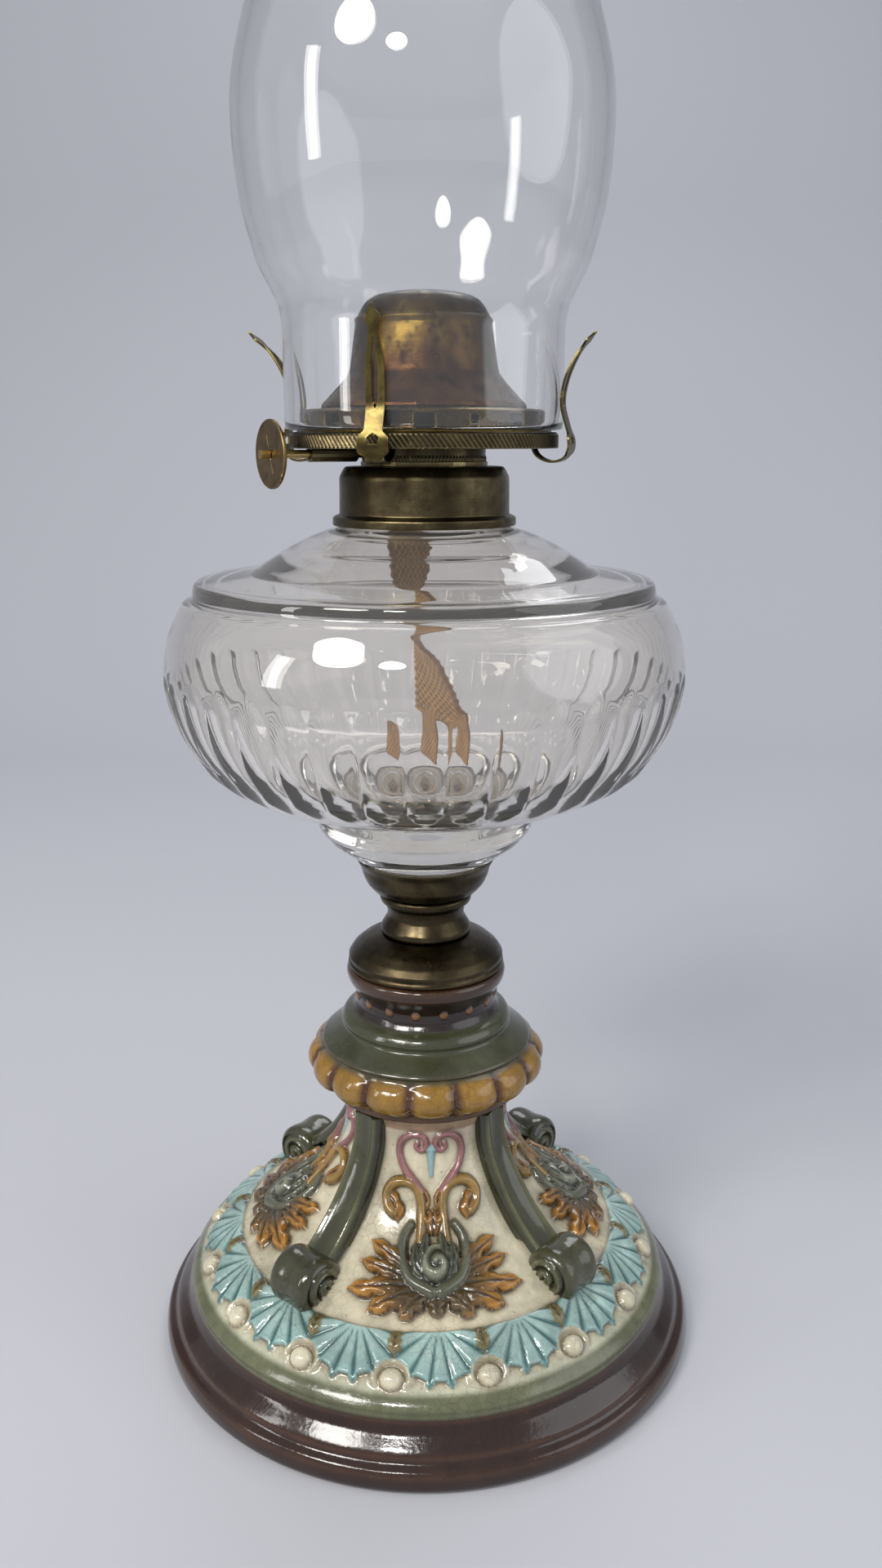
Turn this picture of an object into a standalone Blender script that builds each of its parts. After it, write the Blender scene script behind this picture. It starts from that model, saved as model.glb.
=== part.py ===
"""Table oil lamp: glazed earthenware base, brass stem, glass oil font, flat-wick burner and chimney.

Units are metres, +Z is up. The origin is on the lamp's axis, on the surface that the foot stands on.
Sizes below are written in millimetres and turned into metres by the MM factor.
"""

import math

import bmesh
import bpy
from mathutils import Matrix, Vector

MM = 0.001
GAP = 0.3              # clearance between neighbouring pieces

# ---- Driving dimensions, in millimetres ----
FOOT_R = 83.6          # widest radius of the ceramic foot
CERAMIC_TOP = 119.6    # height of the ceramic base
ROD_R = 3.0            # tie rod that clamps the base, stem and cup together
ROD_TOP = 149.6
NECK_FOOT = 129.9      # where the turned neck stands on the cap
NECK_TOP = 142.4
CUP_RIM_R = 20.6
CUP_TOP = 153.2
FONT_R = 73.9          # widest radius of the glass font
FONT_NECK_R = 20.2     # outside of the font's neck
FONT_NECK_TOP = 259.5
COLLAR_FOOT = 250.6
COLLAR_TOP = 266.5
THREAD_R = 16.1        # bore of the collar that the burner screws into
SKIRT_R = 17.0         # lower body of the burner
RING_R = 36.9          # gallery ring that carries the chimney
RING_TOP = 275.6
DECK_R = 33.0
DECK_TOP = 281.5
CONE_R = 28.0
CONE_TOP = 312.5
CHIMNEY_FIT_R = 38.1   # outside of the chimney's lower end, a 3 inch fitter
CHIMNEY_BULGE_R = 49.7
CHIMNEY_WALL = 2.2
CHIMNEY_TOP = 516.0
WICK_WIDTH = 25.0
WICK_THICK = 2.2
WICK_AZIMUTH = 211.0   # direction of the wick shaft, in degrees from +X
SHAFT_R = 1.1
SHAFT_Z = 269.9
WHEEL_R = 4.2          # toothed wheels that drive the wick
WHEEL_TEETH = 10
DISC_R = 9.0
DISC_REACH = 43.6      # the thumb disc's distance along the shaft
BASE_TURN = 3.5        # the base's ornament is turned by this many degrees on the axis
SCROLLS = 4
SCROLL_START = 45.0
PRONG_AZIMUTHS = (-108.0, -18.0, 72.0, 162.0)
PRONG_LEANS = (0.0, 1.0, 0.9, 1.35)
PRONG_STRETCHES = (1.0, 1.0, 1.0, 1.25)   # how far each blade is drawn out from its lower end
PRONG_THICK = 0.8
UPRIGHT_BLADE = ((39.0, 290.4), (39.3, 295.8), (39.8, 300.8), (41.2, 305.4))
BENT_BLADE = ((39.8, 289.6), (41.9, 294.2), (44.3, 297.7), (47.2, 300.9))

WHEEL_OFFSET = WICK_THICK / 2 + GAP + WHEEL_R

COLLECTION = "oil_lamp"
CUTTERS = "oil_lamp_cutters"


# ---- Scene set-up ----
def clear_scene():
    for item in list(bpy.data.objects):
        bpy.data.objects.remove(item, do_unlink=True)
    for name in (COLLECTION, CUTTERS):
        group = bpy.data.collections.get(name)
        if group:
            bpy.data.collections.remove(group)
        group = bpy.data.collections.new(name)
        bpy.context.scene.collection.children.link(group)


def material(name, colour, roughness, metallic=0.0, transmission=0.0):
    made = bpy.data.materials.get(name) or bpy.data.materials.new(name)
    made.use_nodes = True
    shader = made.node_tree.nodes["Principled BSDF"]
    shader.inputs["Base Color"].default_value = (*colour, 1.0)
    shader.inputs["Roughness"].default_value = roughness
    shader.inputs["Metallic"].default_value = metallic
    shader.inputs["Transmission Weight"].default_value = transmission
    return made


def finish(obj, mat, group=COLLECTION, smooth=True):
    """Puts an object in its collection, with its material and shading."""
    for old in list(obj.users_collection):
        old.objects.unlink(obj)
    bpy.data.collections[group].objects.link(obj)
    obj.data.materials.clear()
    if mat:
        obj.data.materials.append(mat)
    if smooth:
        obj.data.shade_smooth()
        obj.data.set_sharp_from_angle(angle=math.radians(35))
    return obj


# ---- Modelling helpers ----
def outline_object(name, points, closed):
    """An object made of edges only, in the XZ plane, for a Screw modifier to turn."""
    mesh = bpy.data.meshes.new(name)
    body = bmesh.new()
    verts = [body.verts.new((r * MM, 0.0, z * MM)) for r, z in points]
    for a, b in zip(verts, verts[1:]):
        body.edges.new((a, b))
    if closed:
        body.edges.new((verts[-1], verts[0]))
    body.to_mesh(mesh)
    body.free()
    return bpy.data.objects.new(name, mesh)


def turned(name, points, mat, steps=32, closed=True):
    """A turned piece. Points are (radius, height), down the outside and then up the inside."""
    obj = outline_object(name, points, closed)
    bpy.context.scene.collection.objects.link(obj)
    screw = obj.modifiers.new("turn", "SCREW")
    screw.axis = "Z"
    screw.steps = steps
    screw.render_steps = steps
    screw.use_merge_vertices = True
    screw.merge_threshold = 0.00001
    screw.use_smooth_shade = True
    return finish(obj, mat, smooth=False)


def baked(obj):
    """The object's evaluated mesh as a plain mesh object of the same name, placed at the origin."""
    bpy.context.view_layer.update()
    seen = obj.evaluated_get(bpy.context.evaluated_depsgraph_get())
    mesh = bpy.data.meshes.new_from_object(seen)
    mesh.transform(obj.matrix_world)
    body = bmesh.new()
    body.from_mesh(mesh)
    bmesh.ops.remove_doubles(body, verts=body.verts, dist=0.000005)
    bmesh.ops.recalc_face_normals(body, faces=body.faces)
    body.to_mesh(mesh)
    body.free()
    name = obj.name
    bpy.data.objects.remove(obj, do_unlink=True)
    made = bpy.data.objects.new(name, mesh)
    bpy.context.scene.collection.objects.link(made)
    return made


def cylinder(name, radius, depth, centre, axis=(0, 0, 1), sides=24):
    bpy.ops.mesh.primitive_cylinder_add(vertices=sides, radius=radius * MM, depth=depth * MM)
    obj = bpy.context.object
    obj.name = name
    obj.rotation_euler = Vector(axis).to_track_quat("Z", "Y").to_euler()
    obj.location = Vector(centre) * MM
    return obj


def box(name, size, centre, turn=0.0):
    bpy.ops.mesh.primitive_cube_add(size=1.0)
    obj = bpy.context.object
    obj.name = name
    obj.scale = Vector(size) * MM
    obj.rotation_euler = (0.0, 0.0, math.radians(turn))
    obj.location = Vector(centre) * MM
    bpy.ops.object.transform_apply(location=False, rotation=False, scale=True)
    return obj


def boolean(obj, other, how="DIFFERENCE"):
    """Cuts or joins with another object, which is kept hidden among the cutters."""
    finish(other, None, CUTTERS, smooth=False)
    other.hide_render = True
    other.display_type = "WIRE"
    step = obj.modifiers.new(other.name, "BOOLEAN")
    step.operation = how
    step.solver = "EXACT"
    step.object = other


def smooth_through(points, count):
    """Points spaced along a Catmull-Rom curve through the given 2D or 3D points."""
    knots = [Vector(p) for p in points]
    knots = [2 * knots[0] - knots[1], *knots, 2 * knots[-1] - knots[-2]]
    spans = len(points) - 1
    made = []
    for i in range(count):
        t = i / (count - 1) * spans
        k = min(int(t), spans - 1)
        u = t - k
        a, b, c, d = knots[k:k + 4]
        made.append(0.5 * ((2 * b) + (c - a) * u + (2 * a - 5 * b + 4 * c - d) * u ** 2
                           + (3 * b - a - 3 * c + d) * u ** 3))
    return made


def with_inside(outer, wall):
    """Closes an outer profile into a loop, with an inner side that runs back a wall away."""
    points = [Vector(p) for p in outer]
    inner = []
    for i, point in enumerate(points):
        along = points[min(i + 1, len(points) - 1)] - points[max(i - 1, 0)]
        inward = Vector((along.y, -along.x)).normalized()
        if inward.x > 0:
            inward = -inward
        inner.append(point + inward * wall)
    inner[0].y = points[0].y
    inner[-1].y = points[-1].y
    return [tuple(p) for p in points] + [tuple(p) for p in reversed(inner)]


def direction(azimuth):
    return Vector((math.cos(math.radians(azimuth)), math.sin(math.radians(azimuth)), 0.0))


# ---- Ceramic base ----
ROLL_R = 7.8           # the volute at the foot of each buttress
ROLL_LENGTH = 12.5
ROLL_REACH = 53.3
ROLL_Z = 36.1
STRAP_WIDTH = 10.6


def scroll_strap(index, azimuth):
    """One buttress: a strap down the flared body that ends in a rolled volute."""
    side = [(25.0, 79.0), (28.4, 78.4), (30.2, 65.8), (36.2, 54.4), (43.5, 46.4), (51.0, 43.2),
            (53.0, 36.0), (42.0, 37.0), (31.0, 47.0), (23.5, 60.0), (22.0, 70.0)]
    curve = bpy.data.curves.new(f"scroll_strap_{index}", "CURVE")
    curve.dimensions = "2D"
    curve.fill_mode = "BOTH"
    curve.extrude = STRAP_WIDTH / 2 * MM
    spline = curve.splines.new("POLY")
    spline.points.add(len(side) - 1)
    spline.use_cyclic_u = True
    for point, (r, z) in zip(spline.points, side):
        point.co = (r * MM, z * MM, 0.0, 1.0)
    strap = bpy.data.objects.new(f"scroll_strap_{index}", curve)
    bpy.context.scene.collection.objects.link(strap)
    strap.matrix_world = Matrix.Rotation(math.radians(azimuth), 4, "Z") @ Matrix.Rotation(
        math.radians(90), 4, "X")
    strap = baked(strap)
    centre = direction(azimuth) * ROLL_REACH + Vector((0, 0, ROLL_Z))
    roll = cylinder(f"scroll_roll_{index}", ROLL_R, ROLL_LENGTH, centre, direction(azimuth + 90), sides=14)
    return strap, roll


def ceramic_base(glaze):
    drum = [(8.0, CERAMIC_TOP), (22.6, CERAMIC_TOP), (23.9, 119.0), (24.2, 117.8), (23.8, 115.8),
            (22.1, 112.6), (20.9, 110.2), (21.1, 107.8), (22.4, 105.6), (24.9, 104.6), (26.0, 102.8),
            (25.4, 101.0), (31.4, 96.9), (32.3, 96.0), (31.6, 94.9)]
    bead = [(36.6 - 5.4 + 5.4 * math.cos(math.radians(a)), 89.3 + 5.4 * math.sin(math.radians(a)))
            for a in (60, 32, 4, -24, -52, -80)]
    body = [(30.0, 82.8), (30.3, 80.9), (26.0, 79.4)]
    body += [tuple(p) for p in smooth_through(
        [(24.2, 75.0), (24.2, 68.0), (26.4, 61.5), (31.0, 53.0), (38.0, 45.5), (47.5, 38.5), (58.6, 32.3)], 8)]
    band = [(65.8, 27.2), (70.8, 23.4), (73.6, 21.2), (75.0, 19.6), (74.7, 17.4)]
    foot = [(76.2, 13.6), (79.4, 10.6), (80.3, 9.2), (80.7, 7.9), (82.7, 6.8), (FOOT_R, 4.4), (FOOT_R, 2.0),
            (82.2, 0.0)]
    inside = [(75.0, 0.0), (73.6, 2.0), (69.6, 12.0), (66.0, 19.0), (59.0, 25.2), (49.0, 30.8),
              (39.0, 37.6), (30.4, 45.4), (24.0, 54.0), (20.2, 63.0), (18.8, 72.0), (19.6, 92.0),
              (16.0, 101.5), (8.0, 101.5)]
    base = turned("ceramic_base", drum + bead + body + band + foot + inside, glaze, steps=32)
    base = baked(base)
    for i in range(SCROLLS):
        azimuth = SCROLL_START + BASE_TURN + i * 360.0 / SCROLLS
        for piece in scroll_strap(i + 1, azimuth):
            boolean(base, piece, "UNION")
    finish(base, glaze)


# ---- Stem, cup and the rod that clamps them to the base ----
def hex_nut(name, across_corners, low, high, bore, mat):
    nut = cylinder(name, across_corners / 2, high - low, (0, 0, (low + high) / 2), sides=6)
    boolean(nut, cylinder(f"{name}_bore", bore, high - low + 4, (0, 0, (low + high) / 2), sides=20))
    finish(nut, mat, smooth=False)


def stem(brass, iron, plaster):
    rod_foot = 92.0
    rod = cylinder("tie_rod", ROD_R, ROD_TOP - rod_foot, (0, 0, (ROD_TOP + rod_foot) / 2), sides=16)
    finish(rod, iron)
    bore = ROD_R + GAP
    hex_nut("rod_nut", 13.0, 95.4, 99.0, bore, iron)
    turned("rod_washer", [(bore, 101.2), (12.5, 101.2), (12.5, 99.3), (bore, 99.3)], iron, 20)
    turned("stem_cap", [(bore, 129.6), (13.6, 129.6), (16.6, 128.6), (19.6, 127.0), (22.0, 125.0),
                        (23.5, 122.8), (23.2, 121.5), (23.7, 120.7), (23.5, 119.9), (22.4, 119.9),
                        (21.6, 122.6), (19.4, 125.0), (16.6, 126.8), (bore, 127.8)], brass, 24)
    turned("stem_neck", [(bore, NECK_TOP), (13.2, NECK_TOP), (13.9, 141.4), (13.5, 139.8), (12.0, 138.6),
                         (11.5, 136.6), (11.5, 135.2), (12.4, 133.6), (13.5, 131.8), (13.6, 130.4),
                         (13.2, NECK_FOOT), (bore, NECK_FOOT)], brass, 24)
    floor = NECK_TOP + GAP
    turned("font_cup", [(CUP_RIM_R, CUP_TOP), (19.3, 150.8), (18.8, 148.6), (17.7, 146.0), (15.8, 143.7),
                        (13.6, floor), (bore, floor), (bore, 144.2), (13.2, 144.2), (15.8, 146.0),
                        (17.4, 148.6), (18.0, 150.8), (19.4, CUP_TOP)], brass, 26)
    hex_nut("cup_nut", 11.0, 144.5, 147.8, bore, iron)
    turned("cup_plaster", [(12.3, 153.2), (17.6, 153.2), (17.6, 151.0), (16.8, 148.4), (15.2, 146.0),
                           (12.8, 144.6), (6.4, 144.6), (6.4, 149.9), (12.3, 149.9)], plaster, 20)


# ---- Glass font and its collar ----
def font(glass, brass, plaster):
    neck = [(18.6, FONT_NECK_TOP), (FONT_NECK_R, FONT_NECK_TOP), (FONT_NECK_R, 250.4)]
    shoulder = [(25.4, 250.0), (32.0, 247.5), (40.0, 243.6), (45.8, 239.8), (49.0, 237.6)]
    ledge = [(62.4, 236.4), (64.7, 234.8), (64.9, 231.6), (67.4, 230.6)]
    bowl = [(69.4, 227.4), (72.5, 220.0), (FONT_R, 211.0), (73.2, 203.0), (70.2, 193.8), (64.2, 184.8),
            (56.0, 178.4), (45.0, 174.0), (34.0, 171.6)]
    foot = [(32.0, 170.4), (32.5, 167.6), (31.4, 163.4), (28.2, 159.6), (23.6, 156.2), (20.2, 153.6)]
    peg = [(12.0, 153.6), (12.0, 150.2), (0.0, 150.2)]
    inside = [(0.0, 176.0), (34.0, 177.0), (48.0, 180.4), (59.0, 187.2), (66.4, 196.8), (69.8, 208.0),
              (69.0, 218.0), (65.6, 226.0), (61.0, 231.6), (46.0, 235.8), (34.0, 242.4), (26.0, 246.2),
              (18.6, 247.6)]
    turned("glass_font", neck + shoulder + ledge + bowl + foot + peg + inside, glass, 32)
    turned("font_collar", [(THREAD_R, COLLAR_TOP), (21.9, COLLAR_TOP), (23.5, 263.8), (23.7, 253.6),
                           (25.6, 252.8), (25.6, COLLAR_FOOT), (22.2, COLLAR_FOOT), (22.2, 265.3),
                           (17.1, 265.3), (17.1, 254.5), (THREAD_R, 254.5)], brass, 28)
    turned("collar_plaster", [(17.4, 265.0), (21.9, 265.0), (21.9, 250.8), (20.5, 250.8), (20.5, 259.8),
                              (18.3, 259.8), (18.3, 254.7), (17.4, 254.7)], plaster, 20)


# ---- Burner ----
def air_holes(deck, count):
    """Air holes around the deck's wall: wide and small ones by turns."""
    for i in range(count):
        azimuth = 360.0 * i / count
        width, height = ((5.0, 2.2), (1.8, 1.8))[i % 2]
        middle = direction(azimuth) * (DECK_R - 0.4) + Vector((0, 0, DECK_TOP - 2.4))
        boolean(deck, box(f"air_hole_{i + 1}", (6.0, width, height), middle, azimuth))


def burner(brass, copper):
    bore = 14.9
    thread_foot, flange = 256.6, COLLAR_TOP + GAP
    turned("burner_thread_ring", [(bore, flange + 1.0), (17.6, flange + 1.0), (17.6, flange),
                                  (15.8, flange), (15.8, thread_foot), (bore, thread_foot)], brass, 28)
    floor, skirt_foot = RING_TOP - 0.4, flange + 1.0 + GAP
    shell = turned("burner_shell", [(0.0, floor), (31.0, floor), (31.0, floor - 0.8), (24.0, floor - 1.4),
                                    (SKIRT_R + 0.8, floor - 2.2), (SKIRT_R, floor - 3.0),
                                    (SKIRT_R, skirt_foot), (SKIRT_R - 0.8, skirt_foot),
                                    (SKIRT_R - 0.8, floor - 2.0), (SKIRT_R - 1.8, floor - 0.8),
                                    (0.0, floor - 0.8)], brass, 26, closed=False)
    shell = baked(shell)
    along, across = direction(WICK_AZIMUTH), direction(WICK_AZIMUTH - 90)
    notch = box("shaft_notch", (12.0, 2 * (SHAFT_R + GAP), 4.4),
                along * 16.4 + across * WHEEL_OFFSET + Vector((0, 0, SHAFT_Z - 0.8)), WICK_AZIMUTH)
    boolean(shell, notch)
    slot = box("tube_slot", (WICK_WIDTH + 2.4, WICK_THICK + 2.4, 4.0), (0, 0, floor), WICK_AZIMUTH)
    boolean(shell, slot)
    finish(shell, brass)

    lip = RING_TOP - 0.8
    turned("gallery_ring", [(31.4, RING_TOP), (36.2, RING_TOP), (RING_R, 275.0), (RING_R, 271.3),
                            (36.1, 271.3), (36.1, lip), (31.4, lip)], brass, 32)
    deck_foot = RING_TOP + GAP
    deck = turned("burner_deck", [(23.5, DECK_TOP), (DECK_R - 0.6, DECK_TOP), (DECK_R, DECK_TOP - 0.5),
                                  (DECK_R, deck_foot + 0.7), (34.9, deck_foot + 0.7), (34.9, deck_foot),
                                  (DECK_R - 0.8, deck_foot), (DECK_R - 0.8, DECK_TOP - 0.8),
                                  (23.5, DECK_TOP - 0.8)], brass, 28)
    deck = baked(deck)
    air_holes(deck, 16)
    finish(deck, brass)

    middle = (0, 0, 286.0)
    tube = box("wick_tube", (WICK_WIDTH + 1.8, WICK_THICK + 1.8, 45.0), middle, WICK_AZIMUTH)
    inner = box("wick_tube_bore", (WICK_WIDTH + 0.8, WICK_THICK + 0.8, 60.0), middle, WICK_AZIMUTH)
    boolean(tube, inner)
    window = box("wheel_window", (WICK_WIDTH - 4.0, 4.0, 10.0),
                 across * (WICK_THICK / 2 + 1.4) + Vector((0, 0, SHAFT_Z)), WICK_AZIMUTH)
    boolean(tube, window)
    finish(tube, brass, smooth=False)

    cone_outer = [(2.0, CONE_TOP), (9.0, 312.2), (13.4, 311.0), (15.8, 309.0), (17.4, 306.4),
                  (18.4, 304.4), (19.1, 299.5), (20.3, 291.4), (22.4, 288.6), (CONE_R, 282.6),
                  (CONE_R + 0.2, DECK_TOP + GAP)]
    cone = baked(turned("burner_cone", with_inside(cone_outer, 0.7), copper, 24))
    slot = box("flame_slot", (27.6, 5.0, 16.0), (0, 0, CONE_TOP + 4.0), WICK_AZIMUTH)
    boolean(cone, slot)
    finish(cone, copper)


def toothed_wheel(name, centre, along, brass):
    """A star wheel on the wick shaft, cut from sheet."""
    curve = bpy.data.curves.new(name, "CURVE")
    curve.dimensions = "2D"
    curve.fill_mode = "BOTH"
    curve.extrude = 0.6 * MM
    rim = curve.splines.new("POLY")
    rim.points.add(2 * WHEEL_TEETH - 1)
    rim.use_cyclic_u = True
    for i, point in enumerate(rim.points):
        angle = math.pi * i / WHEEL_TEETH
        radius = (WHEEL_R if i % 2 == 0 else WHEEL_R - 1.1) * MM
        point.co = (radius * math.cos(angle), radius * math.sin(angle), 0.0, 1.0)
    hole = curve.splines.new("POLY")
    hole.points.add(15)
    hole.use_cyclic_u = True
    for i, point in enumerate(hole.points):
        angle = 2 * math.pi * i / 16
        radius = (SHAFT_R + GAP) * MM
        point.co = (radius * math.cos(angle), radius * math.sin(angle), 0.0, 1.0)
    wheel = bpy.data.objects.new(name, curve)
    bpy.context.scene.collection.objects.link(wheel)
    wheel.matrix_world = Matrix.Translation(centre * MM) @ along.to_track_quat("Z", "Y").to_matrix().to_4x4()
    finish(baked(wheel), brass, smooth=False)


def wick_drive(brass):
    along, across = direction(WICK_AZIMUTH), direction(WICK_AZIMUTH - 90)
    origin = across * WHEEL_OFFSET + Vector((0, 0, SHAFT_Z))
    start, end = -12.0, DISC_REACH + 3.2
    finish(cylinder("wick_shaft", SHAFT_R, end - start, origin + along * (start + end) / 2, along, 16), brass)
    for i, place in enumerate((-6.5, 6.5)):
        toothed_wheel(f"feed_wheel_{i + 1}", origin + along * place, along, brass)
    sleeve = cylinder("shaft_sleeve", 2.1, 14.0, origin + along * 25.5, along, 16)
    boolean(sleeve, cylinder("sleeve_bore", SHAFT_R + GAP, 18.0, origin + along * 25.5, along, 16))
    finish(sleeve, brass)
    disc = cylinder("thumb_disc", DISC_R, 0.9, origin + along * DISC_REACH, along, 36)
    boolean(disc, cylinder("disc_bore", SHAFT_R + GAP, 6.0, origin + along * DISC_REACH, along, 16))
    finish(disc, brass)


def prong(index, azimuth, lean, stretch, brass):
    """A spring leaf: foot under the ring, a loop below it, then up past the chimney and outward by its lean."""
    path = [(35.2, 274.0), (33.6, 274.0), (31.9, 273.2), (31.2, 271.6), (32.0, 269.8), (33.9, 268.5),
            (36.6, 267.9), (39.4, 268.7), (41.1, 270.9), (41.2, 273.8), (40.1, 277.4), (38.9, 281.6),
            (38.8, 285.0)]
    for (upright_r, upright_z), (bent_r, bent_z) in zip(UPRIGHT_BLADE, BENT_BLADE):
        blade_r, blade_z = upright_r + (bent_r - upright_r) * lean, upright_z + (bent_z - upright_z) * lean
        path.append((38.8 + (blade_r - 38.8) * stretch, 285.0 + (blade_z - 285.0) * stretch))
    line = smooth_through(path, 22)
    mesh = bpy.data.meshes.new(f"prong_{index}")
    body = bmesh.new()
    bmesh.ops.create_grid(body, x_segments=len(line) - 1, y_segments=2, size=1.0)
    for vert in body.verts:
        place = line[round((vert.co.x + 1) / 2 * (len(line) - 1))]
        half = 4.7 if place.y < 276.5 and place.x > 38.5 else 2.6
        vert.co = (place.x * MM, vert.co.y * half * MM, place.y * MM)
    body.to_mesh(mesh)
    body.free()
    leaf = bpy.data.objects.new(f"prong_{index}", mesh)
    bpy.context.scene.collection.objects.link(leaf)
    leaf.rotation_euler = (0.0, 0.0, math.radians(azimuth))
    sheet = leaf.modifiers.new("sheet", "SOLIDIFY")
    sheet.thickness = PRONG_THICK * MM
    sheet.offset = 0.0
    finish(baked(leaf), brass)


def wick(cotton):
    """A flat woven ribbon: straight in its tube, then twisting as it hangs in the font."""
    # height, centre x, centre y, azimuth of the ribbon's width
    stations = [(311.4, 0.0, 0.0, 211.0), (296.0, 0.0, 0.0, 211.0), (278.0, 0.0, 0.0, 211.0),
                (263.0, 0.0, 0.0, 211.0), (255.0, 0.0, 0.0, 211.0), (249.0, -2.0, -0.3, 228.0),
                (242.0, -3.8, -0.8, 244.0), (233.0, -4.0, -1.2, 256.0), (224.0, -2.6, -1.8, 268.0),
                (214.0, 0.4, -2.4, 284.0), (203.0, 3.2, -3.0, 297.0), (191.0, 4.0, -3.0, 303.0),
                (180.6, 2.5, -2.5, 305.0)]
    line = smooth_through([Vector((z, x, y, a)) for z, x, y, a in stations], 27)
    mesh = bpy.data.meshes.new("wick")
    body = bmesh.new()
    bmesh.ops.create_grid(body, x_segments=len(line) - 1, y_segments=2, size=1.0)
    for vert in body.verts:
        height, x, y, azimuth = line[round((vert.co.x + 1) / 2 * (len(line) - 1))]
        out = direction(azimuth) * vert.co.y * WICK_WIDTH / 2
        vert.co = (Vector((x, y, height)) + out) * MM
    body.to_mesh(mesh)
    body.free()
    ribbon = bpy.data.objects.new("wick", mesh)
    bpy.context.scene.collection.objects.link(ribbon)
    sheet = ribbon.modifiers.new("sheet", "SOLIDIFY")
    sheet.thickness = WICK_THICK * MM
    sheet.offset = 0.0
    finish(baked(ribbon), cotton)


# ---- Chimney ----
def chimney(glass):
    upper = [tuple(p) for p in smooth_through(
        [(26.6, CHIMNEY_TOP), (25.6, 500.0), (26.0, 470.0), (28.4, 442.0), (34.6, 411.0), (43.6, 384.0),
         (48.6, 366.0), (CHIMNEY_BULGE_R, 352.0), (48.2, 334.0), (44.2, 318.4)], 14)]
    fitter = [(40.8, 312.0), (38.8, 308.0), (CHIMNEY_FIT_R, 303.0), (CHIMNEY_FIT_R, RING_TOP + GAP)]
    turned("chimney", with_inside(upper + fitter, CHIMNEY_WALL), glass, steps=30)


def main():
    clear_scene()
    glaze = material("glazed_earthenware", (0.20, 0.19, 0.13), 0.16)
    brass = material("patinated_brass", (0.16, 0.13, 0.06), 0.34, 1.0)
    copper = material("heated_brass", (0.33, 0.17, 0.10), 0.38, 1.0)
    iron = material("iron", (0.12, 0.12, 0.12), 0.5, 1.0)
    plaster = material("plaster", (0.75, 0.72, 0.66), 0.9)
    glass = material("clear_glass", (0.95, 0.95, 0.93), 0.03, 0.0, 0.9)
    cotton = material("cotton_wick", (0.42, 0.27, 0.13), 0.9)
    ceramic_base(glaze)
    stem(brass, iron, plaster)
    font(glass, brass, plaster)
    burner(brass, copper)
    wick_drive(brass)
    for i, (azimuth, lean, stretch) in enumerate(zip(PRONG_AZIMUTHS, PRONG_LEANS, PRONG_STRETCHES)):
        prong(i + 1, azimuth, lean, stretch, brass)
    wick(cotton)
    chimney(glass)


main()
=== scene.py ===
"""Looks of the oil lamp: glazed ceramic base, patinated brass, clear glass and a cotton wick.

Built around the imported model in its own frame: metres, +Z up, the lamp's axis on Z.
Profiles are written in millimetres as (radius, height) and scaled by MM.
"""

import math
import bmesh
import bpy
import numpy as np
from mathutils import Matrix, Vector


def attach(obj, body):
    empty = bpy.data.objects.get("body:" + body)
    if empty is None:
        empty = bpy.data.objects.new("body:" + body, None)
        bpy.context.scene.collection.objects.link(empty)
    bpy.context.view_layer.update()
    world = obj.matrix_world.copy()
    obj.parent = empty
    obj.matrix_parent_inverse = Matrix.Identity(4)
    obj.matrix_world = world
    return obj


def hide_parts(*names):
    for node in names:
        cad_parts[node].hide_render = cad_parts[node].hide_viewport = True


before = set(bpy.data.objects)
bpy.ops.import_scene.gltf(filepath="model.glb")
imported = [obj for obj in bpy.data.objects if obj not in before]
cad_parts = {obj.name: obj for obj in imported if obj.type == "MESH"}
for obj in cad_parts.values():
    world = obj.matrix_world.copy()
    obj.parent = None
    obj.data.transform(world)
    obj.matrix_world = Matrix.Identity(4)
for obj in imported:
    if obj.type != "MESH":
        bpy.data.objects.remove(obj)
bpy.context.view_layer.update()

MM = 0.001
BASE_TURN = 3.5                # degrees that the base's pattern is turned by
PANEL = -90.0 + BASE_TURN      # azimuth of the front panel's middle
WICK_AZIMUTH = 211.0           # direction of the wick's width, and of the shaft beside it
SHAFT_Z = 269.9                # height of the wick shaft
SHAFT_OFFSET = 5.6             # from the lamp's axis to the shaft's
ROOT, BURNER = "base_and_font", "burner"


# ---- Small maths ----
def blend(base, other, cover):
    """Colours: `base` where cover is 0 and `other` where it is 1."""
    cover = np.asarray(cover)[..., None]
    return base * (1 - cover) + np.array(other) * cover


def painted(colour, shape):
    return np.array(colour) * np.ones(shape + (3,))


def direction(azimuth):
    return Vector((math.cos(math.radians(azimuth)), math.sin(math.radians(azimuth)), 0.0))


def resampled(points, step, soft, closed):
    """A polyline as evenly spaced points, with its corners rounded over about `soft` mm."""
    pts = np.array(points, dtype=float)
    if closed:
        pts = np.vstack([pts, pts[:1]])
    gaps = np.hypot(*np.diff(pts, axis=0).T)
    along = np.concatenate([[0.0], np.cumsum(gaps)])
    count = max(8, int(round(along[-1] / step)))
    at = np.linspace(0.0, along[-1], count + 1)
    out = np.stack([np.interp(at, along, pts[:, k]) for k in (0, 1)], axis=1)
    if closed:
        out = out[:-1]
    reach = int(round(soft / step))
    for _ in range(reach):
        if closed:
            out = 0.25 * np.roll(out, 1, axis=0) + 0.5 * out + 0.25 * np.roll(out, -1, axis=0)
        else:
            inner = 0.25 * out[:-2] + 0.5 * out[1:-1] + 0.25 * out[2:]
            out = np.vstack([out[:1], inner, out[-1:]])
    return out


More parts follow.
